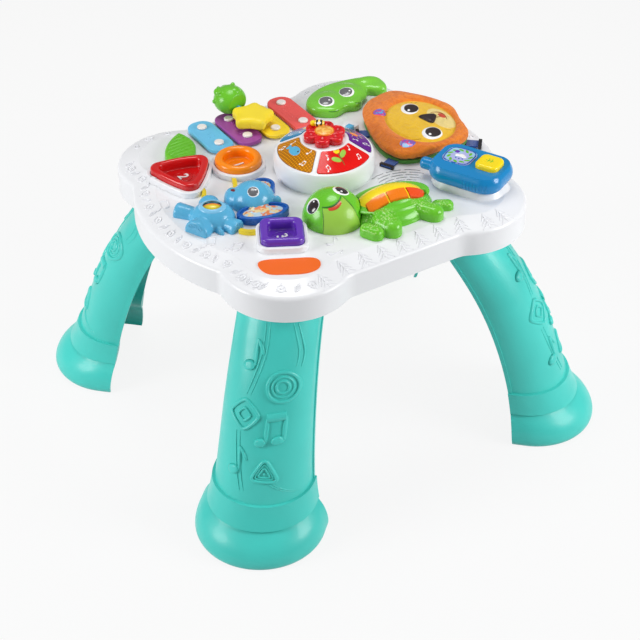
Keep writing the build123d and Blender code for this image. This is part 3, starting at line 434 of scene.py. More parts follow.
def stroke(points, width, rise, closed=False, tip=0.5, smooth=True):
    """A round-topped line through flat points, thinner at its ends."""
    curve = bpy.data.curves.new("stroke", "CURVE")
    curve.dimensions = "3D"
    curve.bevel_depth = width / 2
    curve.bevel_resolution = 2
    curve.use_fill_caps = not closed
    curve.resolution_u = 5
    spline = curve.splines.new("NURBS" if smooth else "POLY")
    spline.points.add(len(points) - 1)
    for index, (x, y) in enumerate(points):
        spline.points[index].co = (x, y, 0, 1)
        end = index in (0, len(points) - 1) and not closed
        spline.points[index].radius = tip if end else 1.0
    spline.use_cyclic_u = closed
    if smooth:
        spline.order_u = 3
        spline.use_endpoint_u = not closed
    bm = from_curve(curve)
    bmesh.ops.scale(bm, vec=(1, 1, 2 * rise / width), verts=bm.verts)
    return bm


def dash(inner, outer, angle, width, rise):
    """A short straight line that points away from the middle."""
    return stroke([polar(inner, angle), polar(outer, angle)], width, rise, smooth=False)


def oval(a, b):
    """Distance to an ellipse's edge, by angle."""
    return lambda t: a * b / math.hypot(b * math.cos(t), a * math.sin(t))


def rounded_polygon(sides, radius, softness=0.16, turn=0.0):
    """Distance to the edge of a polygon with rounded corners, by angle."""
    step = math.tau / sides
    cap = radius * (1 - softness)
    sharpness = 9

    def reach(t):
        off = (t - math.radians(turn)) % step - step / 2
        side = radius * math.cos(step / 2) / math.cos(off)
        return (side**-sharpness + cap**-sharpness) ** (-1 / sharpness)
    return reach


def patch(reach, rise, crown=0.0, rings=12, thickness=0.8):
    """A filled flat shape with a rounded rim, raised by crown in its middle."""
    bm = bmesh.new()
    bmesh.ops.create_grid(bm, x_segments=rings, y_segments=rings, size=1.0)
    for vert in bm.verts:
        x, y, _ = vert.co
        u = x * math.sqrt(1 - y * y / 2)
        v = y * math.sqrt(1 - x * x / 2)
        ratio = min(1.0, math.hypot(u, v))
        angle = math.atan2(v, u)
        height = rise * (1 - ratio**8) + crown * (1 - ratio**2)
        vert.co = (*polar(reach(angle) * ratio, angle), height)
    bmesh.ops.recalc_face_normals(bm, faces=bm.faces)
    bmesh.ops.solidify(bm, geom=bm.faces[:], thickness=thickness)
    return bm


def shifted(bm, x, y, turn=0.0, z=0.0):
    spin = Matrix.Rotation(math.radians(turn), 3, "Z")
    bmesh.ops.rotate(bm, verts=bm.verts, cent=(0, 0, 0), matrix=spin)
    bmesh.ops.translate(bm, verts=bm.verts, vec=(x, y, z))
    return bm


def outline(reach, width, rise, steps=40):
    """A raised line along an edge that is given by angle."""
    turns = [math.tau * i / steps for i in range(steps)]
    return stroke([polar(reach(t), t) for t in turns], width, rise, closed=True)


def lump(centre, radii, turn=0.0):
    """A soft oval form in space."""
    bm = bmesh.new()
    bmesh.ops.create_icosphere(bm, subdivisions=4, radius=1.0)
    bmesh.ops.scale(bm, vec=radii, verts=bm.verts)
    return shifted(bm, centre[0], centre[1], turn, centre[2])


def close_rows(bm, rows):
    """Faces between neighbouring rows, each a closed ring of as many points."""
    for first, second in zip(rows, rows[1:]):
        for i in range(len(first)):
            bm.faces.new((first[i - 1], first[i], second[i], second[i - 1]))


def apply_modifiers(piece):
    graph = bpy.context.evaluated_depsgraph_get()
    finished = bpy.data.meshes.new_from_object(piece.evaluated_get(graph))
    piece.modifiers.clear()
    piece.data = finished
    for face in finished.polygons:
        face.use_smooth = True


FOOT_DEPTH = 1.5


def melted(node, name, body, material, voxel, passes, on_top=True, extra=()):
    """A node's solid remeshed and smoothed in its place, let into the top if it stands there."""
    whole = joined(in_millimetres(nodes[node].data), *extra)
    for vert in whole.verts:
        if on_top and vert.co.z < PLAY_SURFACE + 0.05:
            vert.co.z = PLAY_SURFACE - FOOT_DEPTH
    piece = assemble(name, body, (whole, material))
    remesh = piece.modifiers.new("melt", "REMESH")
    remesh.mode = "VOXEL"
    remesh.voxel_size = voxel * MM
    remesh.use_smooth_shade = True
    soften = piece.modifiers.new("soften", "SMOOTH")
    soften.factor = 0.5
    soften.iterations = passes
    apply_modifiers(piece)
    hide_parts(node)
    return piece


def middle_of(node):
    low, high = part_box(node)
    return (low + high) / 2 / MM


# ---- music notes and other small motifs ----
def scaled_path(size, *points):
    return [(size * x, size * y) for x, y in points]


def single_note(size, width, rise):
    head = shifted(patch(oval(size * 0.24, size * 0.18), rise, rings=8), -size * 0.16, -size * 0.38, 20)
    stem = stroke(scaled_path(size, (0.05, -0.34), (0.05, 0.1), (0.05, 0.5)), width, rise)
    flag = stroke(scaled_path(size, (0.05, 0.48), (0.2, 0.3), (0.3, 0.06)), width, rise)
    return joined(head, stem, flag)


def twin_note(size, width, rise):
    beam = stroke(scaled_path(size, (-0.2, 0.36), (0.06, 0.41), (0.34, 0.46)), width * 1.6, rise, tip=1.0)
    parts = [beam]
    for side in (-1, 1):
        x, lean = side * 0.26, side * 0.05
        head = patch(oval(size * 0.2, size * 0.15), rise, rings=8)
        parts.append(shifted(head, size * (x - 0.1), size * (lean - 0.38), 20))
        stem = scaled_path(size, (x + 0.07, lean - 0.36), (x + 0.07, 0), (x + 0.07, lean + 0.4))
        parts.append(stroke(stem, width, rise))
    return joined(*parts)


def blossom(size, width, rise):
    """A ring round a dot, with three short rays."""
    ring = outline(oval(size * 0.72, size * 0.72), width, rise, steps=20)
    dot = patch(oval(size * 0.28, size * 0.28), rise * 0.8, rings=6)
    return joined(ring, dot, *[dash(0.9 * size, 1.2 * size, angle, width, rise) for angle in (0.4, 2.5, 4.6)])


def leaf_mark(size, width, rise):
    """An open leaf with its midrib."""
    edge = scaled_path(size, (-1, 0), (-0.3, 0.42), (0.5, 0.3), (1, 0), (0.5, -0.3), (-0.3, -0.42))
    rib = scaled_path(size, (-1.3, -0.1), (-0.2, 0), (0.7, 0))
    return joined(stroke(edge, width, rise, closed=True), stroke(rib, width, rise))


def little_tree(size, width, rise):
    """Three open chevrons over each other on a short stem."""
    rows = [stroke(scaled_path(size, (0, -1.1), (0, -0.2), (0, 0.8)), width, rise)]
    for level, half in ((-0.75, 0.86), (-0.25, 0.72), (0.25, 0.55)):
        chevron = scaled_path(size, (-half, level - 0.35), (0, level + 0.3), (half, level - 0.35))
        rows.append(stroke(chevron, width, rise, smooth=False))
    return joined(*rows)


def eye(place, target, radius, iris_reach, iris_shift, iris_material, spark):
    """White oval, dark iris and a small highlight, as (bmesh, material) pairs."""
    white = patch(oval(radius, radius * 0.96), 0.35, 0.3)
    iris = shifted(patch(iris_reach, 0.75, 0.5), *iris_shift)
    dot = shifted(patch(oval(1.5, 1.3), 1.45, 0.2, rings=6), *spark)
    layers = ((white, EYE_WHITE), (iris, iris_material), (dot, EYE_WHITE))
    return [(lay(bm, place, target, sink=0.2), material) for bm, material in layers]


# ---- camera, light and floor ----
CAMERA_PLACE = Vector((-0.8583, -1.3623, 1.2996))
CAMERA_BACK = Vector((-0.42709, -0.67676, 0.59965))
LENS = 95.97
FLOOR_GLOW = 0.88
SKY_STRENGTH = 0.28


def add_camera():
    camera = bpy.data.cameras.new("camera")
    camera.lens = LENS
    camera.sensor_width = 36.0
    camera.clip_start = 0.05
    camera.clip_end = 50.0
    holder = placed("camera", camera)
    side = UP.cross(CAMERA_BACK).normalized()
    axes = Matrix((side, CAMERA_BACK.cross(side), CAMERA_BACK.normalized())).transposed().to_4x4()
    holder.matrix_world = Matrix.Translation(CAMERA_PLACE) @ axes
    bpy.context.scene.camera = holder


def add_softbox(name, place, aim, size, power):
    lamp = bpy.data.lights.new(name, "AREA")
    lamp.shape = "DISK"
    lamp.size = size
    lamp.energy = power
    holder = placed(name, lamp)
    holder.location = place
    holder.rotation_euler = (Vector(aim) - Vector(place)).to_track_quat("-Z", "Y").to_euler()


def seen_directly(shader):
    """1 for what the camera sees, straight, in gloss or through clear plastic."""
    path = add_node(shader, "LightPath")
    total = path.outputs["Is Camera Ray"]
    for extra in ("Is Glossy Ray", "Is Transmission Ray"):
        total = combine("MAXIMUM", total, path.outputs[extra])
    return total


def add_floor():
    """A floor that is white where the camera sees it, apart from the table's shadow."""
    bm = bmesh.new()
    bmesh.ops.create_grid(bm, x_segments=4, y_segments=4, size=6.0)
    mesh = bpy.data.meshes.new("floor")
    bm.to_mesh(mesh)
    bm.free()
    floor = placed("floor", mesh)
    material, shader, _ = start_material("floor_white", (0.62, 0.62, 0.62, 1), 0.9)
    glow = add_node(shader, "Emission", Color=WHITE)
    mixer = add_node(shader, "MixShader", Fac=combine("MULTIPLY", seen_directly(shader), FLOOR_GLOW))
    link(shader.outputs["BSDF"], mixer.inputs[1])
    link(glow.outputs["Emission"], mixer.inputs[2])
    wire(material.node_tree.nodes["Material Output"], Surface=mixer.outputs["Shader"])
    mesh.materials.append(material)


def add_world():
    """A white backdrop that lights the table only a little."""
    world = bpy.data.worlds.new("studio")
    bpy.context.scene.world = world
    world.use_nodes = True
    sky = world.node_tree.nodes["Background"]
    seen = add_node(sky, "LightPath").outputs["Is Camera Ray"]
    strength = add_node(sky, "MapRange", Value=seen, To_Min=SKY_STRENGTH, To_Max=1.0)
    wire(sky, Color=WHITE, Strength=strength.outputs["Result"])


def light_studio():
    add_world()
    add_softbox("left", (-1.7, 0.35, 0.9), (0, 0, 0.2), 0.9, 20.0)
    add_softbox("right", (1.05, -1.25, 0.9), (0, 0, 0.2), 0.9, 20.0)
    add_softbox("above", (0.15, 0.35, 1.9), (0, 0, 0.25), 0.8, 11.0)
    bpy.context.scene.view_settings.view_transform = "Standard"


# ---- table top and legs ----
TOP = ground(nodes["top_shell"])
RELIEF = 0.95
BAND_HEIGHT = 275.0
OUTSIDE = 400.0
NEAR_SIDE = -172.0
FAR_LEFT = -190.0
TOP_NOTES = (
    (-150, -75, 10), (-168, -52, 30), (-58, -120, 20), (-66, -140, -20), (-158, 84, 0), (-176, 36, 40),
)


def band_work(angle, inset, motif, turn=0.0):
    """A motif laid on the top at a distance in from its outer edge, which is found from outside."""
    ray = towards(angle)
    hit, normal, _, _ = TOP.ray_cast(ray * OUTSIDE + UP * BAND_HEIGHT, -ray)
    out = Vector((normal.x, normal.y, 0)).normalized()
    point = hit - out * inset
    heading = math.degrees(math.atan2(out.y, out.x)) - 90
    return lay_down(motif, point.x, point.y, TOP, heading + turn)


def leaf_or_blossom(leaf):
    return leaf_mark(5.4, 1.6, RELIEF) if leaf else blossom(5.6, 1.7, RELIEF)


def top_relief():
    """Low moulded motifs on the band: trees on the near side, leaves and blossoms on the others."""
    parts = []
    for i in range(10):
        angle = math.degrees(math.atan2(NEAR_SIDE, -93 + 23.5 * i))
        parts.append(band_work(angle, 14.5, little_tree(10.5, 2.5, RELIEF), 180))
    for i in range(26):
        along_left = math.degrees(math.atan2(NEAR_SIDE + 14.5 * i, FAR_LEFT))
        angle = along_left if i < 23 else -132 + 5 * (i - 23)
        parts.append(band_work(angle, 13, leaf_or_blossom(i % 2 == 0), 55 + 25 * (i % 4)))
    for i in range(26):
        parts.append(band_work(-32 + 6.5 * i, 13, leaf_or_blossom(i % 2 == 1), 40 * (i % 3)))
    for x, y, turn in TOP_NOTES:
        note = twin_note if x < -100 else single_note
        parts.append(lay_down(note(17, 2.0, RELIEF), x, y, TOP, turn - 60))
    assemble("top_relief", TABLE, (joined(*parts), RELIEF_WHITE))


LEG_AZIMUTHS = {"leg_front": 223.5, "leg_left": 136.5, "leg_right": -43.5, "leg_back": 43.5}
WINDING_MIDDLE = 150.0
LEG_SLANT = 0.963
WINDING_LINES = (
    [(-4, 238), (-2, 215), (-7, 186), (-15, 160)],
    [(-23, 118), (-22, 98), (-18, 66), (-14, 50)],
    [(24, 238), (31, 218), (34, 204), (32, 192)],
    [(16, 62), (28, 54), (42, 50)],
)


def nested(edge, *lines):
    """Raised lines of one shape inside each other, each given by radius, width and rise."""
    return joined(*[outline(edge(radius), width, rise) for radius, width, rise in lines])


def leg_shapes():
    """The flat figures of a leg, with how far across and how high each one sits."""
    rings = nested(lambda r: oval(r, r), (15.5, 4.0, 2.4), (10.4, 2.4, 1.4), (6.2, 2.8, 1.8))
    squares = nested(lambda r: rounded_polygon(4, r, 0.12), (18.5, 4.0, 2.4), (8.0, 2.8, 2.0))
    triangle_lines = (18.5, 4.0, 2.4), (13.0, 2.2, 1.4), (8.0, 2.0, 1.8)
    triangles = nested(lambda r: rounded_polygon(3, r, 0.2, 90), *triangle_lines)
    shapes = [
        (rings, 22, 172), (squares, -15, 138), (triangles, 12, 74),
        (patch(oval(1.8, 1.8), 1.4, rings=6), 12, 74), (twin_note(34, 6.2, 3.2), 17, 125),
        (single_note(31, 6.0, 3.0), -11, 203), (single_note(31, 6.0, 3.0), -18, 85),
    ]
    for shift in (0.0, 4.5):
        for path in WINDING_LINES:
            points = [(across + shift, (height - WINDING_MIDDLE) * LEG_SLANT) for across, height in path]
            shapes.append((stroke(points, 1.7, 1.1), 0, WINDING_MIDDLE))
    return shapes


def leg_relief(name, azimuth):
    """Raised shapes and notes down the outer face of a leg, with pairs of winding lines."""
    target = ground(nodes[name])
    sideways = towards(azimuth)
    out = (sideways + UP * 0.28).normalized()
    parts = []
    for motif, across, height in leg_shapes():
        place = facing(sideways * 200 + UP * height, out)
        parts.append(lay(shifted(motif, across, 0), place, target, reach=300.0))
    assemble(name + "_relief", TABLE, (joined(*parts), LEG_TEAL))


# ---- cups ----
CUP_FLOOR = 299.0
CUPS = (
    ("round", "1", (-68.9, 58.8), CUP_ORANGE),
    ("triangle", "2", (-133.0, 69.5), CUP_RED),
    ("square", "3", (-102.0, -89.5), CUP_PURPLE),
)


def cup_digit(cup, digit, middle, material):
    """A white figure in a ring on the cup's floor, its top towards the far side of the table."""
    curve = bpy.data.curves.new("digit", "FONT")
    curve.body = digit
    curve.size = 17.0
    curve.extrude = 0.5
    curve.bevel_depth = 0.2
    curve.align_x = "CENTER"
    curve.align_y = "CENTER"
    figure = shifted(from_curve(curve), *middle, -90, CUP_FLOOR + 0.4)
    ring = shifted(outline(oval(10.0, 10.0), 0.9, 0.6), *middle, z=CUP_FLOOR)
    assemble("digit_" + cup, "cup_" + cup, (figure, DIGIT_WHITE), (ring, material))


def cup_skin(cup, material):
    """A cup with its rim and corners melted rounder."""
    node = "cup_" + cup
    melted(node, node + "_skin", node, material, 0.8, 9, on_top=False)


# ---- drum ----
PAD_LEVEL = 330.0
PAD_NOTES = ((46, -27, twin_note), (31, 26, single_note), (44, 26, twin_note), (34, -27, single_note))


def on_drum(radius, azimuth):
    x, y = polar(radius, math.radians(azimuth))
    return DRUM[0] + x, DRUM[1] + y


def pad_prints(colour, azimuth, motif):
    """White notes and one small generic picture on a pad."""
    target = ground(nodes["pad_" + colour])
    notes = []
    for radius, swing, note in PAD_NOTES:
        x, y = on_drum(radius, azimuth + swing)
        notes.append(lay_down(note(6.2, 0.9, 0.3), x, y, target, azimuth + 100, 0.1, PAD_LEVEL))
    parts = [(joined(*notes), DIGIT_WHITE)]
    middle = on_drum(37, azimuth - 4)
    for bm, material in motif:
        bmesh.ops.scale(bm, vec=(1.45, 1.45, 1.0), verts=bm.verts)
        parts.append((lay_down(bm, *middle, target, azimuth + 90, 0.1, PAD_LEVEL), material))
    assemble("pad_print_" + colour, "pad_" + colour, *parts)


def fish_motif():
    body = patch(oval(6.5, 3.8), 0.3, rings=8)
    tail = shifted(patch(rounded_polygon(3, 3.8), 0.3, rings=6), -7.5, 0)
    spot = shifted(patch(oval(0.9, 0.9), 0.6, rings=5), 3.5, 1.0)
    return [(body, SKY_BLUE), (tail, SKY_BLUE), (spot, EYE_DARK)]


def sprout_motif():
    stem = stroke([(0, -6), (0.4, -1), (0, 5)], 1.1, 0.4)
    leaves = [shifted(patch(oval(4.2, 2.0), 0.35, rings=8), side * 3.6, y, side * 35)
              for side, y in ((-1, 0), (1, 2.5))]
    bud = shifted(patch(oval(2.6, 2.6), 0.5, rings=8), 0, 6)
    return [(stem, LINE_GREEN), (joined(*leaves), JAW_GREEN), (bud, SHELL_YELLOW)]


def sun_motif():
    rays = [dash(4.4, 6.8, math.pi * i / 4, 1.2, 0.4) for i in range(8)]
    return [(patch(oval(3.4, 3.4), 0.4, rings=8), KEY_ORANGE), (joined(*rays), STAR_YELLOW)]


def shell_motif():
    ribs = [stroke([(0, -3.5), (3.2 * x, 3.2)], 0.8, 0.5, smooth=False) for x in (-1, -0.4, 0.4, 1)]
    return [(patch(oval(5.0, 4.4), 0.3, rings=8), SHELL_YELLOW), (joined(*ribs), KEY_ORANGE)]


PETAL_RING = 15.5
PETAL_RADIUS = 8.3
PETALS = [polar(PETAL_RING, math.radians(60 * i - 11)) for i in range(6)]
SHOULDER = 2.6
DISH_RADIUS = 6.0
DISH_DEPTH = 2.6
SEAT_RADIUS = 12.0


def petal_edge(t):
    """Distance to the flower's edge, by angle."""
    best = 0.0
    for x, y in PETALS:
        along = x * math.cos(t) + y * math.sin(t)
        across = abs(x * math.sin(t) - y * math.cos(t))
        if across < PETAL_RADIUS:
            best = max(best, along + math.sqrt(PETAL_RADIUS**2 - across**2))
    return best


def petal_fall(x, y, edge):
    """How far the petals' top lies below its crest: a shoulder, a dish in each petal, a middle seat."""
    shoulder = max(0.0, SHOULDER - edge)
    fall = SHOULDER - math.sqrt(max(0.0, SHOULDER**2 - shoulder**2))
    for px, py in PETALS:
        inside = min(1.0, math.hypot(x - px, y - py) / DISH_RADIUS)
        fall += DISH_DEPTH * (1 - inside**3) ** 2
    return fall + 1 - min(1.0, math.hypot(x, y) / SEAT_RADIUS) ** 4


def flower_head():
    """Six full petals with a shallow hollow in each."""
    low, high = [corner.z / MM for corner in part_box("flower")]
    bm = bmesh.new()
    rings, segments = 26, 180
    rows = []
    for k in range(rings):
        ratio = 1 - (k / rings) ** 1.6
        row = []
        for angle in [math.tau * i / segments for i in range(segments)]:
            far = petal_edge(angle)
            x, y = polar(far * ratio, angle)
            row.append(bm.verts.new((x, y, high - petal_fall(x, y, far * (1 - ratio)))))
        rows.append(row)
    rows.insert(0, [bm.verts.new((vert.co.x, vert.co.y, low)) for vert in rows[0]])
    close_rows(bm, rows)
    bm.faces.new(rows[0])
    bm.faces.new(rows[-1])
    piece = assemble("flower_head", "flower_spinner", (shifted(bm, *DRUM), FLOWER_RED))
    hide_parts("flower")


def flower_disc():
    disc = shifted(patch(oval(10.8, 10.8), 0.9, 2.0, rings=18, thickness=1.2), *DRUM, z=345.4)
    rim = shifted(outline(oval(10.3, 10.3), 1.2, 0.7), *DRUM, z=345.9)
    piece = assemble("flower_disc", "flower_spinner", (disc, FLOWER_GOLD), (rim, KEY_ORANGE))
    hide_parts("flower_centre")


def bee_figure():
    """A striped body with a small head and two wings."""
    middle = Vector((*on_drum(PETAL_RING, 79), 346.6))
    heading = 144
    along = towards(heading)
    body = lump(middle, (6.6, 4.4, 4.4), heading)
    head = lump(middle + along * 6.8, (3.2, 3.4, 3.4), heading)
    wings = [lump(middle + UP * 2.6 + UP.cross(along) * 3.4 * side, (3.4, 2.1, 1.0), heading + 60 * side)
             for side in (-1, 1)]
    parts = ((body, BEE_BANDS), (head, SHELL_YELLOW), (joined(*wings), BEE_WING))
    piece = assemble("bee_figure", "flower_spinner", *parts)
    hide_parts("flower_bee")


# ---- turtle ----
TURTLE_HEAD = Vector((-34.8, -83.2, 297.0))
HEAD_RADIUS = 33.0
JAW_TURN = -102.0
GRAINED_SPOTS = ((-18, -133), (0, -130), (-12, -126), (52, -128), (70, -130))
GRAIN_REACH = 15.0
GRAIN_FLOOR = 301.0
KEY_TRAVEL = 1.5
KEY_ROOM = KEY_TRAVEL + 0.35


def head_spot(x, y, z):
    out = (Vector((x, y, z)) - TURTLE_HEAD).normalized()
    return facing(TURTLE_HEAD + out * HEAD_RADIUS, out)


def turtle_face():
    target = ground(nodes["turtle_head"], nodes["turtle_jaw"])
    front = facing(TURTLE_HEAD, towards(JAW_TURN))
    left, right = [
        eye(head_spot(*point), target, 10.2, iris, shift, EYE_DARK, spark) for point, iris, shift, spark in (
            ((-25.5, -84.6, 328.6), oval(8.7, 7.6), (0.4, -0.8), (-4.0, 1.6)),
            ((-59.5, -81.0, 318.7), oval(8.0, 8.6), (1.2, -0.2), (-0.9, 4.4)))]
    mouth = stroke([(-12.5, 24.2), (-5, 24.9), (2.5, 28.8)], 3.6, 0.6)
    seams = joined(stroke([(-17.5, 24.0), (-19.8, 15), (-21, 0)], 0.8, 0.4),
                   stroke([(6.3, 31.2), (12.6, 25.8), (17.5, 15.8), (22.7, 0)], 0.8, 0.4),
                   stroke([(-17.5, 24.5), (-11, 25.5), (-1, 28.5), (6.3, 31.7)], 1.2, 0.8))
    laid = ((lay(mouth, front, target), MOUTH_RED), (lay(seams, front, target), LINE_GREEN))
    assemble("turtle_face", TABLE, *left, *right, *laid)


def grained(piece):
    """Mark where the skin is grained: near the given spots, on faces that look up."""
    layer = piece.data.attributes.new("grain", "FLOAT", "POINT")
    for vert, item in zip(piece.data.vertices, layer.data):
        x, y, z = vert.co / MM
        near = max(math.exp(-(math.hypot(x - cx, y - cy) / GRAIN_REACH) ** 4) for cx, cy in GRAINED_SPOTS)
        up = min(1.0, max(0.0, (vert.normal.z - 0.15) * 3))
        item.value = near * up * min(1.0, max(0.0, (z - GRAIN_FLOOR) / 2))


def make_room_for_keys(skin):
    """Lower the skin under the three keys, so that they clear it when pressed."""
    keys = ground(*[nodes["turtle_key_" + number] for number in "123"])
    for vert in skin.data.vertices:
        x, y, z = vert.co / MM
        for aside in ((0, 0), (1.3, 0), (-1.3, 0), (0, 1.3), (0, -1.3)):
            below = Vector((x + aside[0], y + aside[1], PLAY_SURFACE + 1))
            under = keys.ray_cast(below, UP)[0]
            if under and z > under.z - KEY_ROOM:
                z = under.z - KEY_ROOM
                vert.co.z = z * MM


def turtle_skin():
    skin = melted("turtle_body", "turtle_skin", TABLE, TURTLE_SPARKLE, 0.9, 5)
    grained(skin)
    make_room_for_keys(skin)


# ---- elephant ----
ELEPHANT_MIDDLE = (-146.0, -20.0)
ELEPHANT_TURN = -30.0
EAR_LEVEL = 305.0
BELLY_RADII = (25.0, 22.0)
BELLY_HEIGHT = 22.0
# The rim's section: how far out of its width, and how high over the belly.
BEZEL_PROFILE = ((0.0, -1.4), (0.0, 0.3), (0.12, 0.75), (0.4, 0.7), (0.75, 0.45), (1.0, 0.0), (1.0, -0.6))


def elephant_skin():
    body = melted("elephant_body", "elephant_skin", TABLE, SKY_BLUE, 0.8, 12)
    head = ground(melted("elephant_head", "elephant_head_skin", TABLE, SKY_BLUE, 1.0, 8))
    spot = facing((-98, -25, 320), (-0.25, -0.6, 0.75))
    parts = eye(spot, head, 7.0, oval(6.1, 5.9), (-0.3, 0.2), EYE_GREY, (2.6, 1.8))
    mouth_place = facing((-110, -1, 312), (-0.7, -0.3, 0.6))
    mouth = lay(patch(oval(3.6, 1.6), 0.3, 0.2, rings=8), mouth_place, head, sink=0.1)
    assemble("elephant_face", TABLE, *parts, (mouth, MOUTH_DARK))
    sole = ground(body)
    toes = [*toe_rings(sole, 206, 32, 9.5, 6.0), *toe_rings(sole, -66, 34, 6.5, 4.2)]
    assemble("elephant_toes", TABLE, (joined(*toes), SKY_BLUE))
    assemble("belly_bezel", TABLE, (bezel(), SKY_PALE))


def toe_rings(target, azimuth, reach, rise, gap):
    """Three small raised rings along the top of a sole."""
    heading = towards(azimuth)
    sole = Vector((*ELEPHANT_MIDDLE, PLAY_SURFACE)) + heading * reach
    place = facing(sole, heading + UP * 0.5)
    spots = [(gap * i, rise - 1.2 * abs(i)) for i in (-1, 0, 1)]
    return [lay(shifted(outline(oval(1.9, 1.9), 0.9, 0.5, steps=16), *spot), place, target) for spot in spots]


def bezel():
    """An oval rim that follows the belly round the roller's window."""
    bm = bmesh.new()
    rows = []
    for size, rise in BEZEL_PROFILE:
        row = []
        for t in [math.tau * i / 64 for i in range(64)]:
            u = (10.2 + 4.6 * size) * math.cos(t)
            v = (9.2 + 4.0 * size) * math.sin(t)
            dome = BELLY_HEIGHT * math.sqrt(1 - (u / BELLY_RADII[0]) ** 2 - (v / BELLY_RADII[1]) ** 2)
            row.append(bm.verts.new((u, v, PLAY_SURFACE + dome + rise)))
        rows.append(row)
    close_rows(bm, rows + rows[:1])
    return shifted(bm, *ELEPHANT_MIDDLE, ELEPHANT_TURN)


def ear_inserts():
    """Printed plates in the ears' wells."""
    target = ground(nodes["elephant_ears"])
    parts = [lay_down(patch(oval(a, b), 0.3, rings=16), x, y, target, turn, 0.15, EAR_LEVEL)
             for x, y, a, b, turn in ((-97, -42, 24.5, 10.5, -14), (-72, 2, 11.0, 10.0, 30))]
    assemble("ear_inserts", TABLE, (joined(*parts), INSERT_PRINT))


# ---- lion pad ----
PAD_VOXEL = 3.6
MEAN_SEAM_RADIUS = 42.0
CLOTH_FRAMES = 20
SEAM_DEPTH, SEAM_WIDTH = 1.8, 2.2
SWELL, SWELL_PLACE, SWELL_WIDTH = 2.2, 10.0, 8.0


def puffed(piece, pressure, cap):
    """Cloth under inner pressure; no point moves further than cap."""
    before = [vert.co.copy() for vert in piece.data.vertices]
    cloth = piece.modifiers.new("cloth", "CLOTH")
    cloth.settings.use_pressure = True
    cloth.settings.uniform_pressure_force = pressure
    cloth.settings.effector_weights.gravity = 0
    cloth.settings.quality = 5
    for number in range(1, CLOTH_FRAMES + 1):
        bpy.context.scene.frame_set(number)
    graph = bpy.context.evaluated_depsgraph_get()
    swollen = bpy.data.meshes.new_from_object(piece.evaluated_get(graph))
    for vert, start in zip(swollen.vertices, before):
        step = vert.co - start
        if step.length > cap * MM:
            vert.co = start + step.normalized() * cap * MM
    piece.modifiers.clear()
    piece.data = swollen
    bpy.context.scene.frame_set(1)


def lion_cushion():
    """The mane and the face as one plush pad, sewn down along the face's edge."""
    bm = in_millimetres(nodes["lion_pad"].data)
    middle = middle_of("lion_pad")
    for vert in bm.verts:
        vert.co = middle + (vert.co - middle) * 0.985
    cushion = assemble("lion_cushion", TABLE, (bm, LION_PLUSH))
    remesh = cushion.modifiers.new("even", "REMESH")
    remesh.mode = "VOXEL"
    remesh.voxel_size = PAD_VOXEL * MM
    apply_modifiers(cushion)
    puffed(cushion, 4.0, 2.0)
    divide = cushion.modifiers.new("divide", "SUBSURF")
    divide.levels = 2
    divide.render_levels = 2
    apply_modifiers(cushion)
    sew_seam(cushion)
    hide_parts("lion_pad")
    return cushion


def sew_seam(cushion):
    """Press the seam into the pad's top along the face's edge and swell the mane beyond it."""
    low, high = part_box("lion_pad")
    turn = Matrix.Rotation(math.radians(-LION_TURN), 2)
    for vert in cushion.data.vertices:
        flat = turn @ Vector((vert.co.x / MM - LION_MIDDLE[0], vert.co.y / MM - LION_MIDDLE[1]))
        away = (math.hypot(flat.x / SEAM_RADII[0], flat.y / SEAM_RADII[1]) - 1) * MEAN_SEAM_RADIUS
        if vert.co.z > low.z + 6 * MM:
            vert.co.z -= SEAM_DEPTH * MM * math.exp(-(away / SEAM_WIDTH) ** 2)
            vert.co.z += SWELL * MM * math.exp(-((away - SWELL_PLACE) / SWELL_WIDTH) ** 2)
        vert.co.z = min(max(vert.co.z, low.z), high.z + 2 * MM)


# Flat ovals, each given by its two radii, its place and its turn.
LION_WHITES = ((15.5, 10.6, 146, 35.5, 58), (12.4, 11.4, 137, -22, 0))
LION_IRISES = ((12.6, 8.9, 147.2, 34.8, 58), (10.0, 9.4, 138.5, -21.5, 0))
LION_SPARKS = ((2.8, 1.9, 141.5, 31, 58), (2.0, 2.0, 133.0, -23.5, 0))
LION_EARS = ((8.6, 7.4, 112.5, 48, 20), (9.6, 7.6, 101.5, -25, -30))
LION_LINES = (
    [(118, 47), (122, 50), (126, 49)], [(112, -18), (116, -23), (121, -24)], [(150, 50), (155, 53)],
    [(154, 47), (160, 50)], [(159, 44), (164, 47)], [(154, -22), (160, -26)], [(158, -19), (164, -23)],
    [(161, -15), (168, -19)],
)
LION_MOUTH = ([(160, 14), (169, 13), (174, 4), (169, -6)], [(156, 2), (162, 2), (168, 1)])


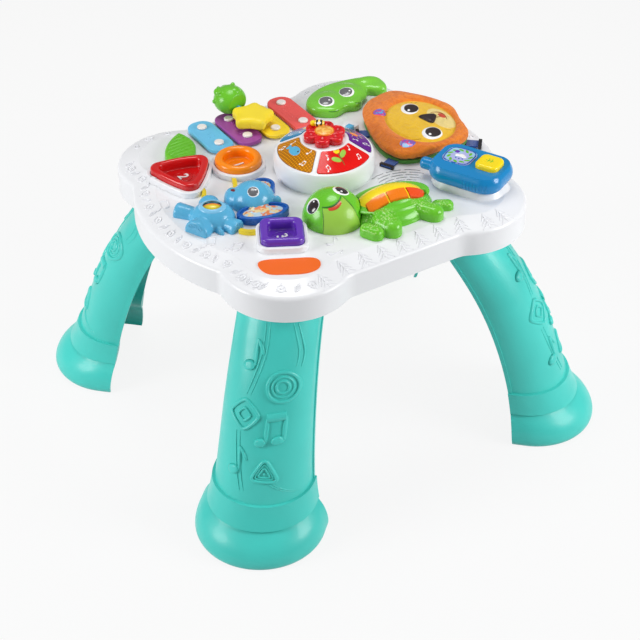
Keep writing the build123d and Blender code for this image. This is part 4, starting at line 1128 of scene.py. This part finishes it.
def lion_features(cushion):
    target = ground(cushion)

    def flat(bm, x, y, turn=0.0):
        return lay_down(bm, x, y, target, turn, 0.1)

    def marks(lines, width, rise):
        return flat(joined(*[stroke(line, width, rise) for line in lines]), 0, 0)

    def ovals(spots, rise, crown=0.0, rings=12):
        return joined(*[flat(patch(oval(a, b), rise, crown, rings), x, y, turn)
                        for a, b, x, y, turn in spots])
    ear_rims = [flat(outline(oval(a, b), 1.0, 0.6), x, y, turn) for a, b, x, y, turn in LION_EARS]
    assemble(
        "lion_features", TABLE,
        (ovals(LION_WHITES, 0.5, 0.1), SATIN_WHITE),
        (ovals(LION_IRISES, 0.9, 0.2), NOSE_BLACK),
        (ovals(LION_SPARKS, 1.4, rings=6), SATIN_WHITE),
        (flat(patch(rounded_polygon(3, 14.5, 0.2, 15), 1.5, 0.9), 151, 4.5), NOSE_BLACK),
        (flat(patch(oval(14.5, 24.5), 0.35, rings=24), 165, 0, -8), MUZZLE_CREAM),
        (marks(LION_MOUTH, 1.7, 1.2), LINE_BROWN),
        (flat(patch(oval(4.2, 6.4), 0.8, 0.1, rings=8), 168.5, 3.5), MOUTH_RED),
        (marks(LION_LINES, 0.7, 0.5), LINE_BROWN),
        (ovals(LION_EARS, 0.5, rings=10), EAR_PRINT),
        (joined(*ear_rims), KEY_ORANGE))


# ---- gourd, leaf, mallet and bars ----
LEAF_LEVEL = 305.0
BAR_LEVEL = 302.0


def gourd_figure():
    target = ground(melted("gourd", "gourd_skin", TABLE, GOURD_GREEN, 1.4, 24))
    parts = []
    for x, y, radius, shift in ((80, 110, 10.2, (-0.5, 0.6)), (112, 116, 9.8, (-0.8, 0.5))):
        iris = oval(radius * 0.84, radius * 0.8)
        place = facing((x, y, 312), (-0.15, -0.35, 1))
        parts += eye(place, target, radius, iris, shift, EYE_GREY, (3.2, 0.6))
    smiles = [lay(stroke(line, 1.3, 0.5), facing(point, (-0.3, -0.7, 0.7)), target)
              for line, point in (([(-6, 0), (0, -2), (6, 1)], (80, 94, 305)),
                                  ([(-4, 0), (0, -1.6), (4, 1)], (113, 92, 308)))]
    assemble("gourd_face", TABLE, *parts, (joined(*smiles), LINE_GREEN))


def leaf_ribs():
    """Soft ribs across the leaf, each as long as the leaf is wide there."""
    target = ground(nodes["leaf"])
    ribs = []
    for i in range(8):
        y = 99 + 6.0 * i
        across = [x for x in range(-145, -75) if target.ray_cast(Vector((x, y, 320)), -UP)[0]]
        first, last = across[0] + 3, across[-1] - 3
        line = [(first, y - 1.5), ((first + last) / 2, y + 1.2), (last, y - 0.5)]
        ribs.append(lay_down(stroke(line, 3.4, 1.7), 0, 0, target, level=LEAF_LEVEL))
    assemble("leaf_ribs", TABLE, (joined(*ribs), LEAF_GREEN))


def mallet_skin():
    melted("mallet_star", "star_skin", "mallet", STAR_YELLOW, 1.0, 60, on_top=False)
    centre = middle_of("mallet_ball")
    bulges = [lump(centre + Vector(offset), (7, 7, 5)) for offset in ((5, -6, 12), (-9, 4, 10), (2, 9, 8))]
    melted("mallet_ball", "crown_skin", "mallet", LEAF_GREEN, 0.9, 6, on_top=False, extra=bulges)


def bar_relief(colour, material, *motifs):
    """Low figures moulded on a bar."""
    name = "bar_" + colour
    x, y, _ = middle_of(name)
    work = lay_down(joined(*motifs), x, y, ground(nodes[name]), sink=0.1, level=BAR_LEVEL)
    assemble("bar_relief_" + colour, name, (work, material))


def bars():
    bar_relief("blue", BAR_BLUE, twin_note(10, 1.0, 0.4))
    leaves = [shifted(leaf_mark(6.0, 1.3, 0.6), x, y, turn) for x, y, turn in ((3, 14, 40), (-2, -14, 120))]
    bar_relief("purple", BAR_PURPLE, blossom(6.0, 1.4, 0.6), *leaves)
    waved = [stroke([(-11, y), (0, y + 1), (11, y)], 1.2, 0.5) for y in range(-18, 22, 5)]
    bar_relief("yellow", BAR_YELLOW, *waved)
    dots = [shifted(patch(oval(0.9, 0.9), 0.4, rings=5), x, y)
            for x in range(-10, 12, 4) for y in range(-14, 16, 4)]
    bar_relief("red", BAR_RED, *dots)


# ---- phone ----
PHONE_TURN = -63.0
PHONE_MIDDLE = Vector((130.5, -104.5, 312.0))
PHONE_SCREEN_PLACE = (126.8, -88.4)


def phone_screen_work(target):
    """A border and a small made-up scene on the screen, as (bmesh, material) pairs."""
    def on_screen(bm, x=0.0, y=0.0, turn=0.0):
        return lay_down(shifted(bm, x, y, turn), *PHONE_SCREEN_PLACE, target, PHONE_TURN, 0.05)
    border = on_screen(outline(rounded_polygon(4, 22.5, 0.16, 45), 1.4, 0.8))
    leaves = [on_screen(patch(oval(3.6, 1.7), 0.3, rings=6), *polar(12.2, a), math.degrees(a) + 55)
              for a in [math.tau * (i + 0.3) / 11 for i in range(11)]]
    cloud = [on_screen(patch(oval(r, r * 0.85), 0.4, rings=8), x, y)
             for x, y, r in ((-2.8, 0.4, 3.2), (1.2, 1.6, 4.0), (5.0, 0.0, 3.0))]
    drops = [on_screen(patch(oval(0.9, 1.4), 0.4, rings=5), x, y, 20)
             for x, y in ((-2.5, -5.0), (1.5, -5.6), (5.2, -4.6))]
    star = on_screen(patch(rounded_polygon(5, 3.6, 0.05, 90), 0.5, rings=8), -6.5, 7.0)
    return [(border, EAR_BLUE), (joined(*leaves), LEAF_GREEN), (joined(*cloud), EYE_WHITE),
            (joined(*drops), EAR_BLUE), (star, CUP_PURPLE)]


def phone_ribs(target):
    """Fine upright ribs on the phone's near side."""
    along = towards(PHONE_TURN)
    ribs = [lay(stroke([(0, -5), (0, 0), (0, 5)], 1.2, 0.6, tip=0.7),
                facing(PHONE_MIDDLE + along * (5 + 4.0 * i), along.cross(UP)), target) for i in range(8)]
    return joined(*ribs)


def phone_details():
    """The screen's picture and the side's ribs, and a mark on the button."""
    target = ground(nodes["phone_body"], nodes["phone_screen"])
    assemble("phone_trim", TABLE, *phone_screen_work(target), (phone_ribs(target), PHONE_BLUE))
    strokes = (([(-4.5, 0), (0, 0.5), (4.5, 0)], 1.5), ([(-2, -3.5), (0, 0.5), (-2, 4.5)], 1.3),
               ([(2, -3.5), (3, 0.5), (2, 4.5)], 1.3))
    mark = joined(*[stroke(line, width, 0.5) for line, width in strokes])
    x, y, _ = middle_of("phone_button")
    work = lay_down(mark, x, y, ground(nodes["phone_button"]), PHONE_TURN, 0.1)
    assemble("phone_button_mark", "phone_button", (work, LEAF_GREEN))


# ---- the whole table ----
FINISHES = (
    (TOP_WHITE, "top_shell underside_cover battery_door drum_housing"),
    (LEG_TEAL, "leg_front leg_back leg_left leg_right"),
    (CELL_METAL, "batteries battery_contacts housing_screws"),
    (BOARD_GREEN, "circuit_board key_boards drum_board"),
    (RUBBER_GREY, "contact_domes"), (SPEAKER_BLACK, "speaker"), (DIGIT_WHITE, "drum_lamps"),
    (GREY_PLASTIC, "flower_spindle roller_axle"),
    (FLOWER_RED, "flower"), (FLOWER_GOLD, "flower_centre"), (BEE_BANDS, "flower_bee"),
    (PAD_TEAL, "pad_teal"), (PAD_AMBER, "pad_amber"), (PAD_RED, "pad_red"), (PAD_PURPLE, "pad_purple"),
    (CUP_ORANGE, "cup_round"), (CUP_PURPLE, "cup_square"), (CUP_RED, "cup_triangle"),
    (BAR_BLUE, "bar_blue"), (BAR_PURPLE, "bar_purple"), (BAR_YELLOW, "bar_yellow"), (BAR_RED, "bar_red"),
    (PIN_WHITE, "bar_pins"), (STAR_YELLOW, "mallet_star"), (LEAF_GREEN, "mallet_ball leaf"),
    (SKY_BLUE, "mallet_stem elephant_body elephant_head volume_slider"),
    (EAR_BLUE, "elephant_ears"), (ROLLER_BANDS, "belly_roller"), (LINK_YELLOW, "link_straps"),
    (TURTLE_GREEN, "turtle_body turtle_head"), (SHELL_YELLOW, "turtle_shell phone_button"),
    (JAW_GREEN, "turtle_jaw"), (KEY_ORANGE, "turtle_key_1 turtle_key_2"), (KEY_RED_ORANGE, "turtle_key_3"),
    (LION_PLUSH, "lion_pad"), (BACKING_GREEN, "lion_backing"), (STRAP_BLUE, "lion_straps"),
    (BUCKLE_BLACK, "strap_buckles"), (PHONE_BLUE, "phone_body"), (SCREEN_PRINT, "phone_screen"),
    (GOURD_GREEN, "gourd"), (LABEL_ORANGE, "label_plate"),
)


def finish_nodes():
    """Each carried-over node's own material."""
    for material, names in FINISHES:
        for name in names.split():
            mesh = nodes[name].data
            mesh.materials.clear()
            mesh.materials.append(material)


def build():
    add_camera()
    light_studio()
    add_floor()
    finish_nodes()
    top_relief()
    for name, azimuth in LEG_AZIMUTHS.items():
        leg_relief(name, azimuth)
    for cup, digit, middle, material in CUPS:
        cup_digit(cup, digit, middle, material)
        cup_skin(cup, material)
    pad_prints("amber", 180, fish_motif())
    pad_prints("red", 270, sprout_motif())
    pad_prints("purple", 0, sun_motif())
    pad_prints("teal", 90, shell_motif())
    flower_head()
    flower_disc()
    bee_figure()
    turtle_skin()
    turtle_face()
    elephant_skin()
    ear_inserts()
    lion_features(lion_cushion())
    gourd_figure()
    leaf_ribs()
    mallet_skin()
    bars()
    phone_details()


build()
